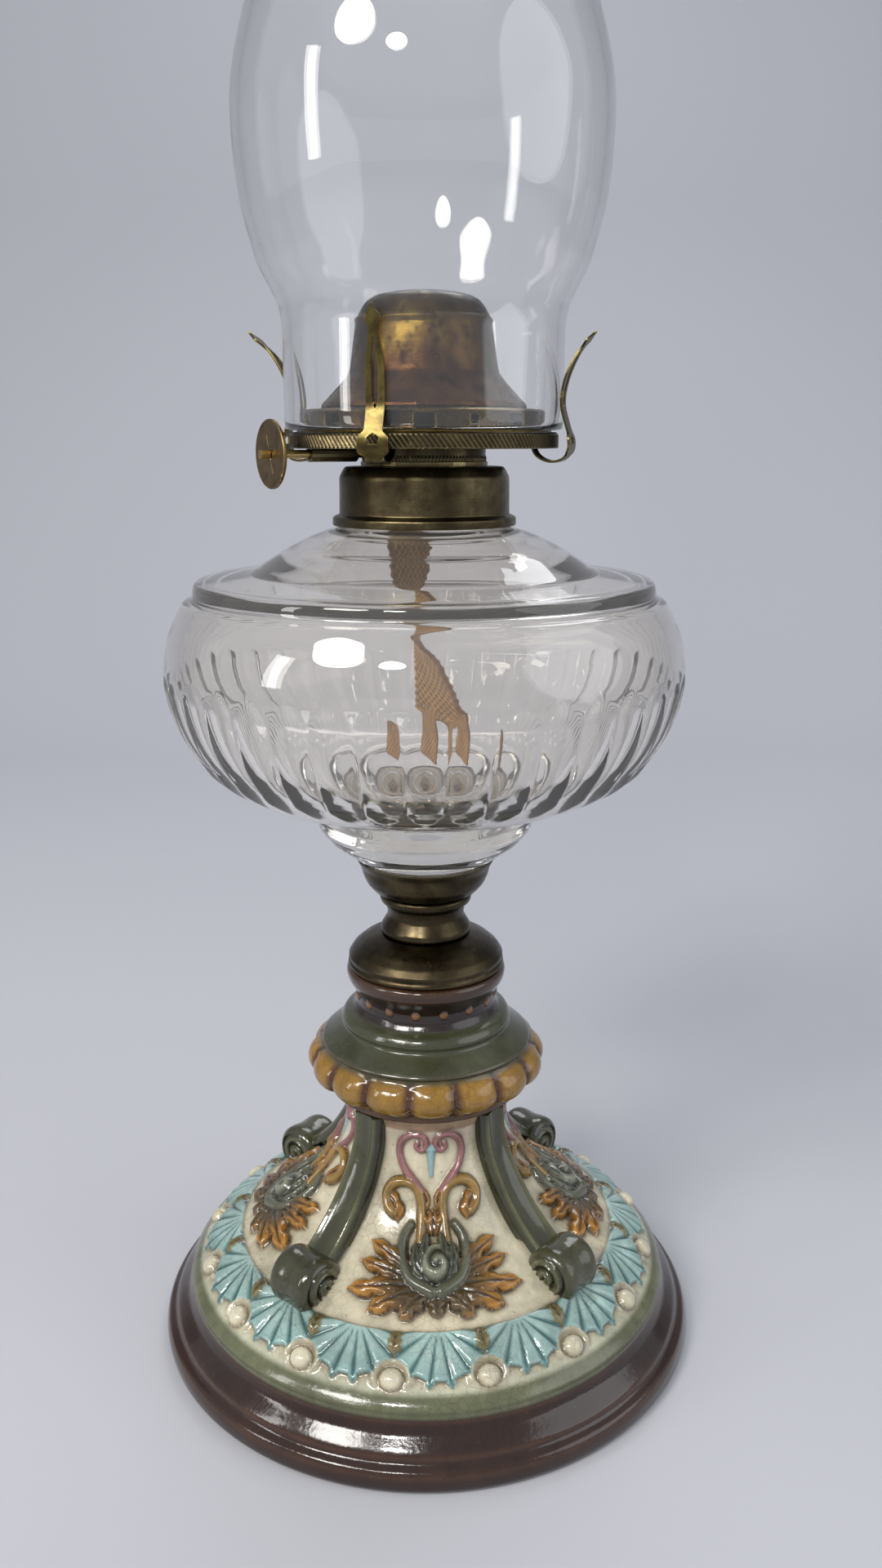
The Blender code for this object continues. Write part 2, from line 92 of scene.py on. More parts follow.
def curve_through(points, count):
    """Points along a Catmull-Rom curve through the given points."""
    knots = [np.array(p, dtype=float) for p in points]
    knots = [2 * knots[0] - knots[1], *knots, 2 * knots[-1] - knots[-2]]
    spans = len(points) - 1
    out = []
    for i in range(count):
        t = i / (count - 1) * spans
        k = min(int(t), spans - 1)
        u = t - k
        a, b, c, d = knots[k:k + 4]
        out.append(0.5 * (2 * b + (c - a) * u + (2 * a - 5 * b + 4 * c - d) * u ** 2
                          + (3 * b - a - 3 * c + d) * u ** 3))
    return [tuple(p) for p in out]


def smoothstep(low, high, x):
    t = np.clip((x - low) / (high - low), 0.0, 1.0)
    return t * t * (3 - 2 * t)


# ---- Meshes ----
def linked(name, data):
    obj = bpy.data.objects.new(name, data)
    bpy.context.scene.collection.objects.link(obj)
    return obj


def mesh_object(name, verts, faces, mat=None):
    mesh = bpy.data.meshes.new(name)
    mesh.from_pydata([tuple(v) for v in np.asarray(verts).tolist()], [], faces)
    mesh.update()
    if mat:
        mesh.materials.append(mat)
    return linked(name, mesh)


def placed(obj, body, node=None):
    """Hands a piece to the frame: its body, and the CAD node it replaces."""
    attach(obj, body)
    if node:
        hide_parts(node)
    return obj


def make(name, verts, faces, mat, body, node=None, colours=None, sharp=40.0):
    """A visible piece that rides on a body, with its glaze colours if it has any."""
    obj = mesh_object(name, verts, faces, mat)
    mesh = obj.data
    mesh.shade_smooth()
    if sharp:
        mesh.set_sharp_from_angle(angle=math.radians(sharp))
    if colours is not None:
        layer = mesh.color_attributes.new("glaze", "FLOAT_COLOR", "POINT")
        flat = np.ones((len(mesh.vertices), 4), dtype=np.float32)
        flat[:, :3] = colours
        layer.data.foreach_set("color", flat.ravel())
    return placed(obj, body, node)


def face_outward(obj):
    """Turns every face of a closed mesh to look outward."""
    mesh = bmesh.new()
    mesh.from_mesh(obj.data)
    bmesh.ops.recalc_face_normals(mesh, faces=mesh.faces)
    mesh.to_mesh(obj.data)
    mesh.free()


def grid_of(profile, steps, lift=None):
    """A turned surface from a closed profile; `lift` gives an offset along the profile's normal."""
    rows = len(profile)
    theta = np.arange(steps) * 2 * math.pi / steps
    along = np.roll(profile, -1, axis=0) - np.roll(profile, 1, axis=0)
    length = np.maximum(np.hypot(along[:, 0], along[:, 1]), 1e-9)
    normal = np.stack([-along[:, 1] / length, along[:, 0] / length], axis=1)
    r = np.repeat(profile[:, :1], steps, axis=1)
    z = np.repeat(profile[:, 1:], steps, axis=1)
    if lift is not None:
        offset = lift(theta[None, :], r, z)
        r = r + normal[:, :1] * offset
        z = z + normal[:, 1:] * offset
    verts = np.stack([r * np.cos(theta), r * np.sin(theta), z], axis=2).reshape(-1, 3) * MM
    pole = profile[:, 0] < 1e-4
    i = np.arange(rows)
    following = (i + 1) % rows
    j = np.arange(steps)
    next_j = (j + 1) % steps
    a = i[:, None] * steps + j
    b = following[:, None] * steps + j
    c = following[:, None] * steps + next_j
    d = i[:, None] * steps + next_j
    quads = np.stack([a, b, c, d], axis=2)
    faces = []
    for k in range(len(i)):
        top, bottom = pole[i[k]], pole[following[k]]
        if top and bottom:
            continue
        if top:
            faces += [(int(q[0] - q[0] % steps), int(q[1]), int(q[2])) for q in quads[k]]
        elif bottom:
            faces += [(int(q[0]), int(q[1] - q[1] % steps), int(q[3])) for q in quads[k]]
        else:
            faces += quads[k].tolist()
    used = np.ones(rows * steps, dtype=bool)
    for row in np.nonzero(pole)[0]:
        used[row * steps + 1:(row + 1) * steps] = False
    order = np.cumsum(used) - 1
    return verts[used], [tuple(int(order[v]) for v in f) for f in faces]


def lathe(name, points, mat, body, node, steps=128, step=0.5, soft=None, lift=None, sharp=40.0):
    """A turned piece; points on the axis stay on it when the profile is softened."""
    profile = resampled(points, step, soft or step, True)
    for place in [p for p in points if p[0] == 0.0]:
        near = np.argmin(np.hypot(profile[:, 0] - place[0], profile[:, 1] - place[1]))
        profile[near] = place
    verts, faces = grid_of(profile, steps, lift)
    return make(name, verts, faces, mat, body, node, sharp=sharp)


def with_inside(outer, wall):
    """An outer profile closed by its own copy, one wall thickness further in."""
    points = np.array(outer, dtype=float)
    along = np.gradient(points, axis=0)
    inward = np.stack([along[:, 1], -along[:, 0]], axis=1)
    inward /= np.hypot(inward[:, 0], inward[:, 1])[:, None]
    inward[inward[:, 0] > 0] *= -1
    inner = points + inward * wall
    inner[0, 1], inner[-1, 1] = points[0, 1], points[-1, 1]
    return [tuple(p) for p in points] + [tuple(p) for p in inner[::-1]]


def strip(name, line, halves, thick, mat, across, holes, place):
    """A sheet-metal leaf: line is (radius, height) points, halves the half-width at each."""
    rows = len(line)
    verts, faces = [], []
    for (r, z), half in zip(line, halves):
        for k in range(across + 1):
            verts.append((r, (2 * k / across - 1) * half, z))
    for i in range(rows - 1):
        for k in range(across):
            if holes(i + 0.5, (2 * (k + 0.5) / across - 1) * halves[i]):
                continue
            a = i * (across + 1) + k
            faces.append((a, a + 1, a + across + 2, a + across + 1))
    obj = mesh_object(name, np.array(verts) * MM, faces, mat)
    obj.data.transform(place)
    obj.data.shade_smooth()
    sheet = obj.modifiers.new("sheet", "SOLIDIFY")
    sheet.thickness = thick * MM
    sheet.offset = 0.0
    edge = obj.modifiers.new("edge", "BEVEL")
    edge.width = thick * 0.25 * MM
    edge.segments = 2
    edge.limit_method = "ANGLE"
    return obj


# ---- Materials ----
class Nodes:
    """Short calls for building a node material."""

    def __init__(self, name):
        self.mat = bpy.data.materials.new(name)
        self.mat.use_nodes = True
        self.tree = self.mat.node_tree
        self.shader = self.tree.nodes["Principled BSDF"]
        self.coords = self.tree.nodes.new("ShaderNodeTexCoord").outputs["Object"]

    def put(self, socket, value):
        if hasattr(value, "is_linked"):
            self.tree.links.new(value, socket)
        elif isinstance(value, tuple) and len(value) == 3 and socket.type == "RGBA":
            socket.default_value = (*value, 1.0)
        else:
            socket.default_value = value

    def set(self, **values):
        for name, value in values.items():
            self.put(self.shader.inputs[name.replace("_", " ")], value)

    def node(self, kind, output, **inputs):
        """Adds a node with these inputs and gives its output."""
        node = self.tree.nodes.new("ShaderNode" + kind)
        for name, value in inputs.items():
            self.put(node.inputs[name], value)
        return node.outputs[output]

    def scaled(self, x, y, z):
        return self.node("Mapping", "Vector", Vector=self.coords, Scale=(x, y, z))

    def noise(self, scale, detail=4.0, rough=0.55, vector=None, distortion=0.0):
        return self.node("TexNoise", "Fac", Vector=vector or self.coords, Scale=scale, Detail=detail,
                         Roughness=rough, Distortion=distortion)

    def cell_edges(self, scale):
        node = self.tree.nodes.new("ShaderNodeTexVoronoi")
        node.feature = "DISTANCE_TO_EDGE"
        self.put(node.inputs["Vector"], self.coords)
        node.inputs["Scale"].default_value = scale
        return node.outputs["Distance"]

    def ramp(self, fac, *stops):
        node = self.tree.nodes.new("ShaderNodeValToRGB")
        self.put(node.inputs["Fac"], fac)
        while len(node.color_ramp.elements) < len(stops):
            node.color_ramp.elements.new(0.5)
        for element, (at, colour) in zip(node.color_ramp.elements, stops):
            element.position = at
            if isinstance(colour, (int, float)):
                colour = (colour, colour, colour)
            element.color = (*colour, 1.0)
        return node.outputs["Color"]

    def mix(self, fac, a, b, how="MIX"):
        node = self.tree.nodes.new("ShaderNodeMix")
        node.data_type = "RGBA"
        node.blend_type = how
        self.put(node.inputs["Factor"], fac)
        self.put(node.inputs["A"], a)
        self.put(node.inputs["B"], b)
        return node.outputs["Result"]

    def maths(self, how, a, b=0.0):
        node = self.tree.nodes.new("ShaderNodeMath")
        node.operation = how
        self.put(node.inputs[0], a)
        self.put(node.inputs[1], b)
        return node.outputs[0]

    def attribute(self, name):
        node = self.tree.nodes.new("ShaderNodeAttribute")
        node.attribute_name = name
        return node.outputs["Color"]

    def pointiness(self):
        return self.node("NewGeometry", "Pointiness")

    def bump(self, height, strength, distance):
        self.set(Normal=self.node("Bump", "Normal", Strength=strength, Distance=distance, Height=height))


def glaze_material():
    n = Nodes("majolica_glaze")
    paint = n.attribute("glaze")
    cloud = n.ramp(n.noise(55.0, 5.0, 0.6), (0.3, 0.72), (0.7, 1.22))
    colour = n.mix(1.0, paint, cloud, "MULTIPLY")
    streak = n.ramp(n.noise(240.0, 3.0, 0.6, n.scaled(1.0, 1.0, 0.22)), (0.38, 0.86), (0.62, 1.1))
    colour = n.mix(0.8, colour, streak, "MULTIPLY")
    cracks = n.ramp(n.cell_edges(330.0), (0.0, 1.0), (0.05, 0.0))
    faded = n.ramp(n.noise(38.0, 3.0, 0.5), (0.42, 0.0), (0.62, 0.5))
    stained = n.mix(1.0, colour, (0.40, 0.31, 0.20), "MULTIPLY")
    colour = n.mix(n.maths("MULTIPLY", cracks, faded), colour, stained)
    speck = n.ramp(n.noise(620.0, 2.0, 0.5), (0.70, 0.0), (0.76, 1.0))
    colour = n.mix(n.maths("MULTIPLY", speck, 0.55), colour, (0.06, 0.04, 0.02))
    n.set(Base_Color=colour, Roughness=n.ramp(n.noise(90.0, 4.0), (0.3, 0.10), (0.7, 0.20)))
    n.set(IOR=1.52, Coat_Weight=0.25, Coat_Roughness=0.04, Specular_IOR_Level=0.5)
    fine = n.maths("ADD", n.noise(700.0, 3.0, 0.6), n.maths("MULTIPLY", n.noise(120.0, 3.0), 1.6))
    n.bump(fine, 0.16, 0.0004)
    return n.mat


def height_above(n, low, high):
    """0 below one height and 1 above the other, in metres."""
    z = n.node("SeparateXYZ", "Z", Vector=n.coords)
    return n.node("MapRange", "Result", **{"Value": z, "From Min": low, "From Max": high})


def cone_material():
    """Heated brass: red-brown flare, yellow patches half-way up, scale and soot at the top."""
    n = Nodes("heated_brass")
    patch = n.noise(62.0, 6.0, 0.65, n.scaled(1.0, 1.0, 0.55), distortion=0.6)
    red = n.ramp(patch, (0.36, (0.024, 0.010, 0.005)), (0.52, (0.075, 0.031, 0.011)),
                 (0.70, (0.15, 0.072, 0.022)))
    yellow = n.ramp(patch, (0.36, (0.060, 0.028, 0.007)), (0.52, (0.155, 0.100, 0.018)),
                    (0.70, (0.34, 0.26, 0.045)))
    patches = n.ramp(n.noise(46.0, 4.0, 0.6), (0.40, 0.05), (0.62, 0.85))
    middle = n.maths("MULTIPLY", height_above(n, 0.2900, 0.2960), patches)
    colour = n.mix(middle, red, yellow)
    scale = n.ramp(n.noise(240.0, 5.0, 0.7), (0.50, 0.0), (0.64, 0.75))
    colour = n.mix(scale, colour, (0.028, 0.012, 0.007))
    sooty = n.ramp(n.noise(180.0, 4.0, 0.6), (0.34, 0.55), (0.56, 1.0))
    soot = n.maths("MULTIPLY", height_above(n, 0.3030, 0.3110), sooty)
    colour = n.mix(soot, colour, (0.016, 0.011, 0.008))
    n.set(Base_Color=colour, Metallic=n.maths("SUBTRACT", 1.0, n.maths("MULTIPLY", soot, 0.85)))
    polish = n.ramp(n.noise(120.0, 5.0, 0.65), (0.3, 0.26), (0.7, 0.44))
    n.set(Roughness=n.mix(scale, polish, (0.62, 0.62, 0.62)))
    lines = n.noise(1.0, 2.0, 0.5, n.scaled(30.0, 30.0, 2600.0))
    n.bump(n.maths("ADD", lines, n.noise(420.0, 4.0, 0.65)), 0.16, 0.0004)
    return n.mat


def brass_material(name, dark, mid, bright, rough=(0.26, 0.46), turned=True, stain=(0.05, 0.03, 0.02)):
    n = Nodes(name)
    patch = n.noise(70.0, 6.0, 0.62, distortion=0.4)
    colour = n.ramp(patch, (0.34, dark), (0.52, mid), (0.72, bright))
    blotch = n.ramp(n.noise(260.0, 4.0, 0.7), (0.48, 0.0), (0.68, 0.7))
    colour = n.mix(blotch, colour, stain)
    worn = n.ramp(n.pointiness(), (0.52, 0.0), (0.60, 0.8))
    colour = n.mix(worn, colour, tuple(min(1.0, c * 1.7) for c in bright))
    n.set(Base_Color=colour, Metallic=1.0)
    n.set(Roughness=n.ramp(n.noise(180.0, 5.0, 0.65), (0.3, rough[0]), (0.7, rough[1])))
    height = n.maths("MULTIPLY", n.noise(900.0, 3.0, 0.6), 0.6)
    if turned:
        lines = n.noise(1.0, 2.0, 0.5, n.scaled(30.0, 30.0, 2600.0))
        height = n.maths("ADD", height, lines)
    n.bump(height, 0.10, 0.0003)
    return n.mat


def glass_material(name, tint, haze=0.02, clear=1.0):
    n = Nodes(name)
    n.set(Base_Color=tint, Transmission_Weight=clear, IOR=1.5, Specular_IOR_Level=0.5)
    n.set(Roughness=n.ramp(n.noise(60.0, 5.0, 0.6), (0.50, 0.0), (0.85, haze)))
    n.bump(n.noise(34.0, 2.0, 0.4), 0.05, 0.0012)
    return n.mat


def wick_material():
    n = Nodes("browned_cotton")
    paint = n.attribute("glaze")
    stain = n.ramp(n.noise(90.0, 5.0, 0.6), (0.3, 0.62), (0.7, 1.25))
    colour = n.mix(1.0, paint, stain, "MULTIPLY")
    fibre = n.ramp(n.noise(2600.0, 3.0, 0.7), (0.35, 0.7), (0.65, 1.2))
    colour = n.mix(0.7, colour, fibre, "MULTIPLY")
    n.set(Base_Color=colour, Roughness=0.9, Sheen_Weight=0.3, Sheen_Roughness=0.5)
    n.bump(n.noise(1900.0, 3.0, 0.7), 0.5, 0.0002)
    return n.mat


def plain_material(name, colour, rough, metallic=0.0, grain=300.0):
    n = Nodes(name)
    tone = n.ramp(n.noise(grain, 5.0, 0.65), (0.3, tuple(c * 0.72 for c in colour)),
                  (0.7, tuple(min(1.0, c * 1.2) for c in colour)))
    n.set(Base_Color=tone, Metallic=metallic)
    n.set(Roughness=n.ramp(n.noise(grain * 0.6, 4.0), (0.3, rough * 0.8), (0.7, min(1.0, rough * 1.2))))
    n.bump(n.noise(grain * 3, 3.0, 0.6), 0.2, 0.0003)
    return n.mat


GLAZE = glaze_material()
BRASS = brass_material("patinated_brass", (0.040, 0.031, 0.016), (0.082, 0.066, 0.034), (0.155, 0.125, 0.062))
STEM_BRASS = brass_material("stem_brass", (0.030, 0.024, 0.014), (0.060, 0.048, 0.027), (0.105, 0.082, 0.044),
                            (0.22, 0.40))
LEAF_BRASS = brass_material("leaf_brass", (0.040, 0.030, 0.012), (0.090, 0.070, 0.024), (0.19, 0.15, 0.045),
                            (0.22, 0.40), turned=False)
DECK_BRASS = brass_material("deck_brass", (0.022, 0.012, 0.004), (0.062, 0.036, 0.010), (0.16, 0.108, 0.024),
                            (0.2, 0.36))
COPPER = cone_material()
IRON = plain_material("dark_iron", (0.11, 0.10, 0.09), 0.45, 1.0)
PLASTER = plain_material("old_plaster", (0.62, 0.56, 0.46), 0.9)
FONT_GLASS = glass_material("font_glass", (0.980, 0.950, 0.905), clear=0.97)
CHIMNEY_GLASS = glass_material("chimney_glass", (0.985, 0.985, 0.980), clear=0.99)
COTTON = wick_material()

# ---- Ceramic base: one turned surface, with its relief as real height ----
CREAM = (0.52, 0.475, 0.345)
PALE = (0.46, 0.465, 0.345)
PINK = (0.235, 0.105, 0.105)
BLUE = (0.22, 0.36, 0.38)
AMBER = (0.36, 0.165, 0.019)
UMBER = (0.035, 0.013, 0.005)
LEAF_CENTRE = (0.050, 0.040, 0.020)
GREY_GREEN = (0.095, 0.098, 0.062)
DEEP_GREEN = (0.018, 0.020, 0.011)
STRAP_GREEN = (0.060, 0.060, 0.030)
TURQUOISE = (0.30, 0.42, 0.385)
TEAL = (0.050, 0.150, 0.150)
EGG = (0.53, 0.49, 0.36)
OLIVE = (0.19, 0.155, 0.055)
RIM_GREEN = (0.115, 0.122, 0.064)
PLATE_GREEN = (0.043, 0.046, 0.022)
AUBERGINE = (0.021, 0.0075, 0.0034)
FOOT_EDGE = (0.065, 0.026, 0.010)
DRUM_BROWN = (0.014, 0.006, 0.004)
RIM_BROWN = (0.036, 0.015, 0.007)
BEAD_AMBER = (0.255, 0.138, 0.021)

FLARE_TOP = (24.2, 75.0)
FLARE = curve_through([(24.2, 75.0), (24.2, 68.0), (26.4, 61.5), (31.0, 53.0), (38.0, 45.5), (47.5, 38.5),
                       (58.6, 32.3)], 40)
BAND = curve_through([(58.6, 32.3), (65.8, 27.2), (70.8, 23.4), (73.6, 21.2), (75.0, 19.6)], 16)


class Relief:
    """Height and colour over the panel, in mm: u is across the panel, s is down the flare."""

    def __init__(self, u, s, ground):
        self.u, self.s = u, s
        self.height = np.zeros_like(u)
        self.colour = ground.copy()

    def nearest(self, points):
        """Distance to a polyline, and how far along it the nearest point is, from 0 to 1."""
        pts = np.array(points, dtype=float)
        gaps = np.hypot(*np.diff(pts, axis=0).T)
        total = gaps.sum()
        best = np.full_like(self.u, 1e9)
        along = np.zeros_like(self.u)
        side = np.zeros_like(self.u)
        done = 0.0
        for (ax, ay), (bx, by), gap in zip(pts[:-1], pts[1:], gaps):
            dx, dy = (bx - ax) / gap, (by - ay) / gap
            t = np.clip((self.u - ax) * dx + (self.s - ay) * dy, 0.0, gap)
            ex, ey = self.u - ax - t * dx, self.s - ay - t * dy
            dist = np.hypot(ex, ey)
            closer = dist < best
            best = np.where(closer, dist, best)
            along = np.where(closer, (done + t) / total, along)
            side = np.where(closer, ex * dy - ey * dx, side)
            done += gap
        return best, along, side

    def add(self, height, colour, fade=0.35):
        """Raises the ground where this shape is higher, and paints it there."""
        gain = height - self.height
        cover = smoothstep(0.0, fade, gain)
        self.colour = blend(self.colour, np.broadcast_to(colour, self.colour.shape), cover)
        self.height = np.maximum(self.height, height)

    def cord(self, points, width, height, colour, edge=None, taper=(1.0, 1.0), count=24):
        """A rounded stroke along a curve."""
        dist, along, _ = self.nearest(curve_through(points, count))
        half = width / 2 * (taper[0] + (taper[1] - taper[0]) * along)
        bulge = np.sqrt(np.clip(1 - (dist / half) ** 2, 0.0, 1.0))
        tint = painted(colour, bulge.shape)
        if edge is not None:
            tint = blend(tint, edge, smoothstep(0.75, 0.25, bulge))
        self.add(height * (taper[0] + (taper[1] - taper[0]) * along) * bulge, tint)

    def leaf(self, points, width, height, colour, vein, lobes=0, count=20):
        """A pointed leaf along a curve, with a sunk vein and, if asked for, notched edges."""
        dist, along, side = self.nearest(curve_through(points, count))
        outline = np.clip(np.sin(math.pi * np.clip(along, 0, 1) ** 0.75), 0.0, 1.0) ** 0.7
        half = width / 2 * (0.18 + 0.82 * outline) * (1 - 0.92 * smoothstep(0.82, 1.0, along))
        if lobes:
            half = half * (0.60 + 0.40 * np.abs(np.cos(lobes * math.pi * (along - 0.12))) ** 0.7)
        across = dist / np.maximum(half, 0.05)
        shape = np.clip(1 - across ** 2, 0.0, 1.0) ** 0.45
        groove = np.exp(-(dist / 0.42) ** 2) * (1 - smoothstep(0.75, 0.95, along))
        rib = 0.5 + 0.5 * np.cos(np.abs(side) * 3.1 + along * (lobes or 3) * 7.0)
        level = height * (0.55 + 0.45 * np.sin(math.pi * along * 0.9)) * shape
        level = level - 0.55 * groove * shape - 0.22 * rib * shape
        dark = np.clip(groove * 0.9 + 0.35 * rib + 0.9 * smoothstep(0.75, 1.0, across), 0.0, 1.0)
        fresh = np.array(colour) * (0.55 + 0.65 * along)[..., None]
        self.add(level, blend(fresh, vein, dark))

    def dome(self, centre, radii, height, colour, edge):
        """An oval boss."""
        out = np.hypot((self.u - centre[0]) / radii[0], (self.s - centre[1]) / radii[1])
        shape = np.clip(1 - out ** 2, 0.0, 1.0) ** 0.5
        self.add(height * shape, blend(np.array(colour), edge, smoothstep(0.72, 1.0, out)))


def mirrored(points):
    return [(-u, s) for u, s in points]


def panel_relief(u, s, ground):
    """The ornament between two buttresses: heart scrolls, drop, hooks, bud and leaves."""
    panel = Relief(u, s, ground)
    heart = [(-3.2, 18.2), (-5.0, 15.6), (-8.0, 11.8), (-9.4, 7.4), (-8.6, 3.4), (-5.6, 0.9), (-2.4, 1.4),
             (-1.3, 4.2), (-2.6, 6.2), (-4.3, 5.2), (-3.9, 3.6)]
    hook = [(-4.0, 33.0), (-3.3, 27.0), (-3.2, 21.0), (-4.4, 17.2), (-7.6, 15.6), (-11.2, 16.6),
            (-13.4, 19.8), (-13.2, 23.4), (-11.6, 25.0)]
    lobes = [([(-6.0, 42.0), (-12.0, 37.4), (-18.8, 33.8)], 6.8),
             ([(-7.0, 43.6), (-14.0, 41.6), (-22.2, 40.4)], 6.2),
             ([(-5.0, 45.6), (-14.0, 46.6), (-26.8, 49.6)], 7.4),
             ([(-4.0, 46.4), (-12.0, 49.8), (-20.4, 54.6)], 7.0),
             ([(-2.6, 46.8), (-6.4, 50.8), (-10.8, 55.8)], 6.6)]
    for flip in (lambda p: p, mirrored):
        panel.cord(flip(heart), 2.2, 1.5, PINK, (0.20, 0.07, 0.08), (1.15, 0.75))
        for path, width in lobes:
            panel.leaf(flip(path), width, 3.1, AMBER, UMBER, lobes=3)
        panel.cord(flip(hook), 2.8, 2.0, (0.24, 0.145, 0.036), (0.06, 0.03, 0.008), (0.9, 1.2))
        curl = [(-13.2, 19.6), (-10.9, 22.6), (-10.2, 27.6)]
        panel.leaf(flip(curl), 5.8, 2.2, AMBER, UMBER, lobes=2)
        panel.leaf(flip([(-4.2, 17.0), (-1.9, 20.0), (-2.2, 25.0)]), 2.8, 1.3, AMBER, UMBER)
    panel.leaf([(0.0, 47.0), (0.0, 51.0), (0.0, 55.2)], 6.4, 2.4, AMBER, UMBER, lobes=3)
    centre = smoothstep(20.0, 10.0, np.hypot(u, s - 44.5)) * (panel.height > 0.5) * (s > 33.0)
    panel.colour = blend(panel.colour, LEAF_CENTRE, 0.85 * centre)
    panel.cord([(0.0, 5.6), (0.0, 9.0), (0.0, 13.8)], 2.6, 1.3, BLUE, (0.12, 0.24, 0.26), (1.0, 0.45))
    panel.dome((0.0, 5.6), (2.5, 1.3), 1.3, BLUE, (0.12, 0.24, 0.26))
    for u0, lean in ((0.0, 0.0), (-2.7, -1.3), (2.7, 1.3)):
        panel.leaf([(u0 * 0.5, 31.0), (u0, 27.0), (u0 + lean, 22.6)], 4.0, 2.1, AMBER, UMBER, lobes=2)
    for flip in (lambda p: p, mirrored):
        panel.cord(flip([(-6.4, 28.0), (-8.8, 32.4), (-9.2, 38.4), (-7.2, 44.0), (-1.4, 47.8)]), 4.2, 3.3,
                   GREY_GREEN, DEEP_GREEN, (0.6, 1.1))
        for path, width, rise in (([(-1.0, 45.4), (-5.0, 40.6), (-5.2, 32.4)], 4.6, 3.4),
                                  ([(-0.4, 44.6), (-2.8, 37.4), (-1.6, 29.4)], 3.8, 4.1)):
            panel.leaf(flip(path), width, rise, GREY_GREEN, DEEP_GREEN, lobes=4)
    x, y = u - 0.6, s - 39.8
    swirl = np.hypot(x / 5.2, y / 6.6)
    turn = np.arctan2(y, x)
    ridge = 0.5 + 0.5 * np.cos(swirl * 9.0 - turn)
    boss = 5.6 * np.clip(1 - swirl ** 2, 0.0, 1.0) ** 0.5 - 0.9 * ridge * (swirl < 1)
    panel.add(boss, blend(np.array((0.22, 0.23, 0.165)), DEEP_GREEN, ridge))
    return panel.height, panel.colour


def fan_relief(u, v, half_pitch):
    """One fan of the band: u across, v down from its top edge, in mm; colour and height."""
    band = Relief(u, v, blend(painted(CREAM, u.shape), PALE, smoothstep(11.0, 17.0, v)))
    x, y = u, v + 1.6
    reach, psi = np.hypot(x, y), np.degrees(np.arctan2(x, np.maximum(y, 0.01)))
    rib = 0.5 + 0.5 * np.cos(np.radians(psi / 22.0 * 360.0 + 180.0))
    rim = 15.0 + 2.4 * rib ** 4
    inside = smoothstep(0.0, 0.5, rim - reach) * smoothstep(0.0, 0.5, half_pitch - 0.35 - np.abs(u))
    inside = inside * smoothstep(80.0, 76.0, np.abs(psi)) * smoothstep(1.2, 2.2, reach)
    level = inside * (0.75 + 0.9 * (1 - rib ** 3) * smoothstep(2.0, 12.0, reach))
    deep = np.clip(rib ** 6 * 1.1 * smoothstep(1.5, 5.0, reach), 0.0, 1.0)
    tint = blend(np.array(TURQUOISE), (0.12, 0.24, 0.235), 0.45 * smoothstep(8.0, 15.5, reach))
    band.add(level, blend(tint, TEAL, deep), 0.4)
    side = half_pitch - np.abs(u)
    mid = Relief(side, v, band.colour)
    mid.height = band.height
    out = np.hypot(side / 5.2, (v - 12.6) / 4.6)
    mid.height = mid.height * smoothstep(0.80, 1.02, out)
    frame_edge = 1.15 * np.exp(-((out - 0.98) / 0.17) ** 2) * smoothstep(16.0, 13.0, v)
    mid.colour = np.where((out < 0.98)[..., None], np.array(EGG) * 0.95, mid.colour)
    mid.add(frame_edge, np.array((0.40, 0.36, 0.25)), 0.6)
    mid.dome((0.0, 12.9), (3.3, 3.0), 2.6, EGG, (0.42, 0.36, 0.24))
    mid.leaf([(0.0, 0.2), (0.0, 3.0), (0.0, 6.6)], 6.4, 2.4, OLIVE, (0.08, 0.06, 0.02))
    return mid.height, mid.colour


def ceramic_profile():
    """Rows of the outer surface with the name of their zone and the run inside it, in mm."""
    drum = [(9.0, 119.6), (22.6, 119.6), (23.9, 119.0), (24.2, 117.8), (23.8, 115.8), (22.1, 112.8),
            (20.9, 110.6), (21.1, 107.8), (22.4, 105.8), (24.9, 104.7), (26.0, 102.8), (25.4, 101.0),
            (25.9, 100.3), (31.4, 96.9), (32.3, 96.0), (31.4, 94.9)]
    bead = [(31.2 + 5.4 * math.cos(math.radians(a)), 89.3 + 5.4 * math.sin(math.radians(a)))
            for a in range(64, -88, -8)]
    under = [(30.0, 82.8), (30.3, 80.9), (26.0, 79.4), FLARE_TOP]
    foot = [(75.0, 19.6), (74.7, 17.4), (75.0, 16.4), (76.2, 13.6), (79.4, 10.6), (80.4, 9.4), (80.2, 8.4),
            (81.0, 7.6), (82.8, 6.8), (83.6, 4.4), (83.4, 1.6), (82.2, 0.0)]
    inside = [(75.0, 0.0), (73.6, 2.0), (69.6, 12.0), (66.0, 19.0), (59.0, 25.2), (49.0, 30.8), (39.0, 37.6),
              (30.4, 45.4), (24.0, 54.0), (20.2, 63.0), (18.8, 72.0), (19.6, 92.0), (16.0, 101.5),
              (9.0, 101.5)]
    rows, zones, runs = [], [], []
    for zone, points, step, soft in (("drum", drum, 0.45, 0.45), ("bead", bead, 0.45, 0.0),
                                     ("under", under, 0.5, 0.5), ("flare", FLARE, 0.45, 0.0),
                                     ("band", BAND, 0.42, 0.0), ("foot", foot, 0.5, 1.0),
                                     ("inside", inside, 3.0, 0.0)):
        part = resampled(points, step, soft, False)
        run = np.concatenate([[0.0], np.cumsum(np.hypot(*np.diff(part, axis=0).T))])
        if rows:
            part, run = part[1:], run[1:]
        rows.append(part)
        runs.append(run)
        zones += [zone] * len(part)
    return np.vstack(rows), np.array(zones), np.concatenate(runs)


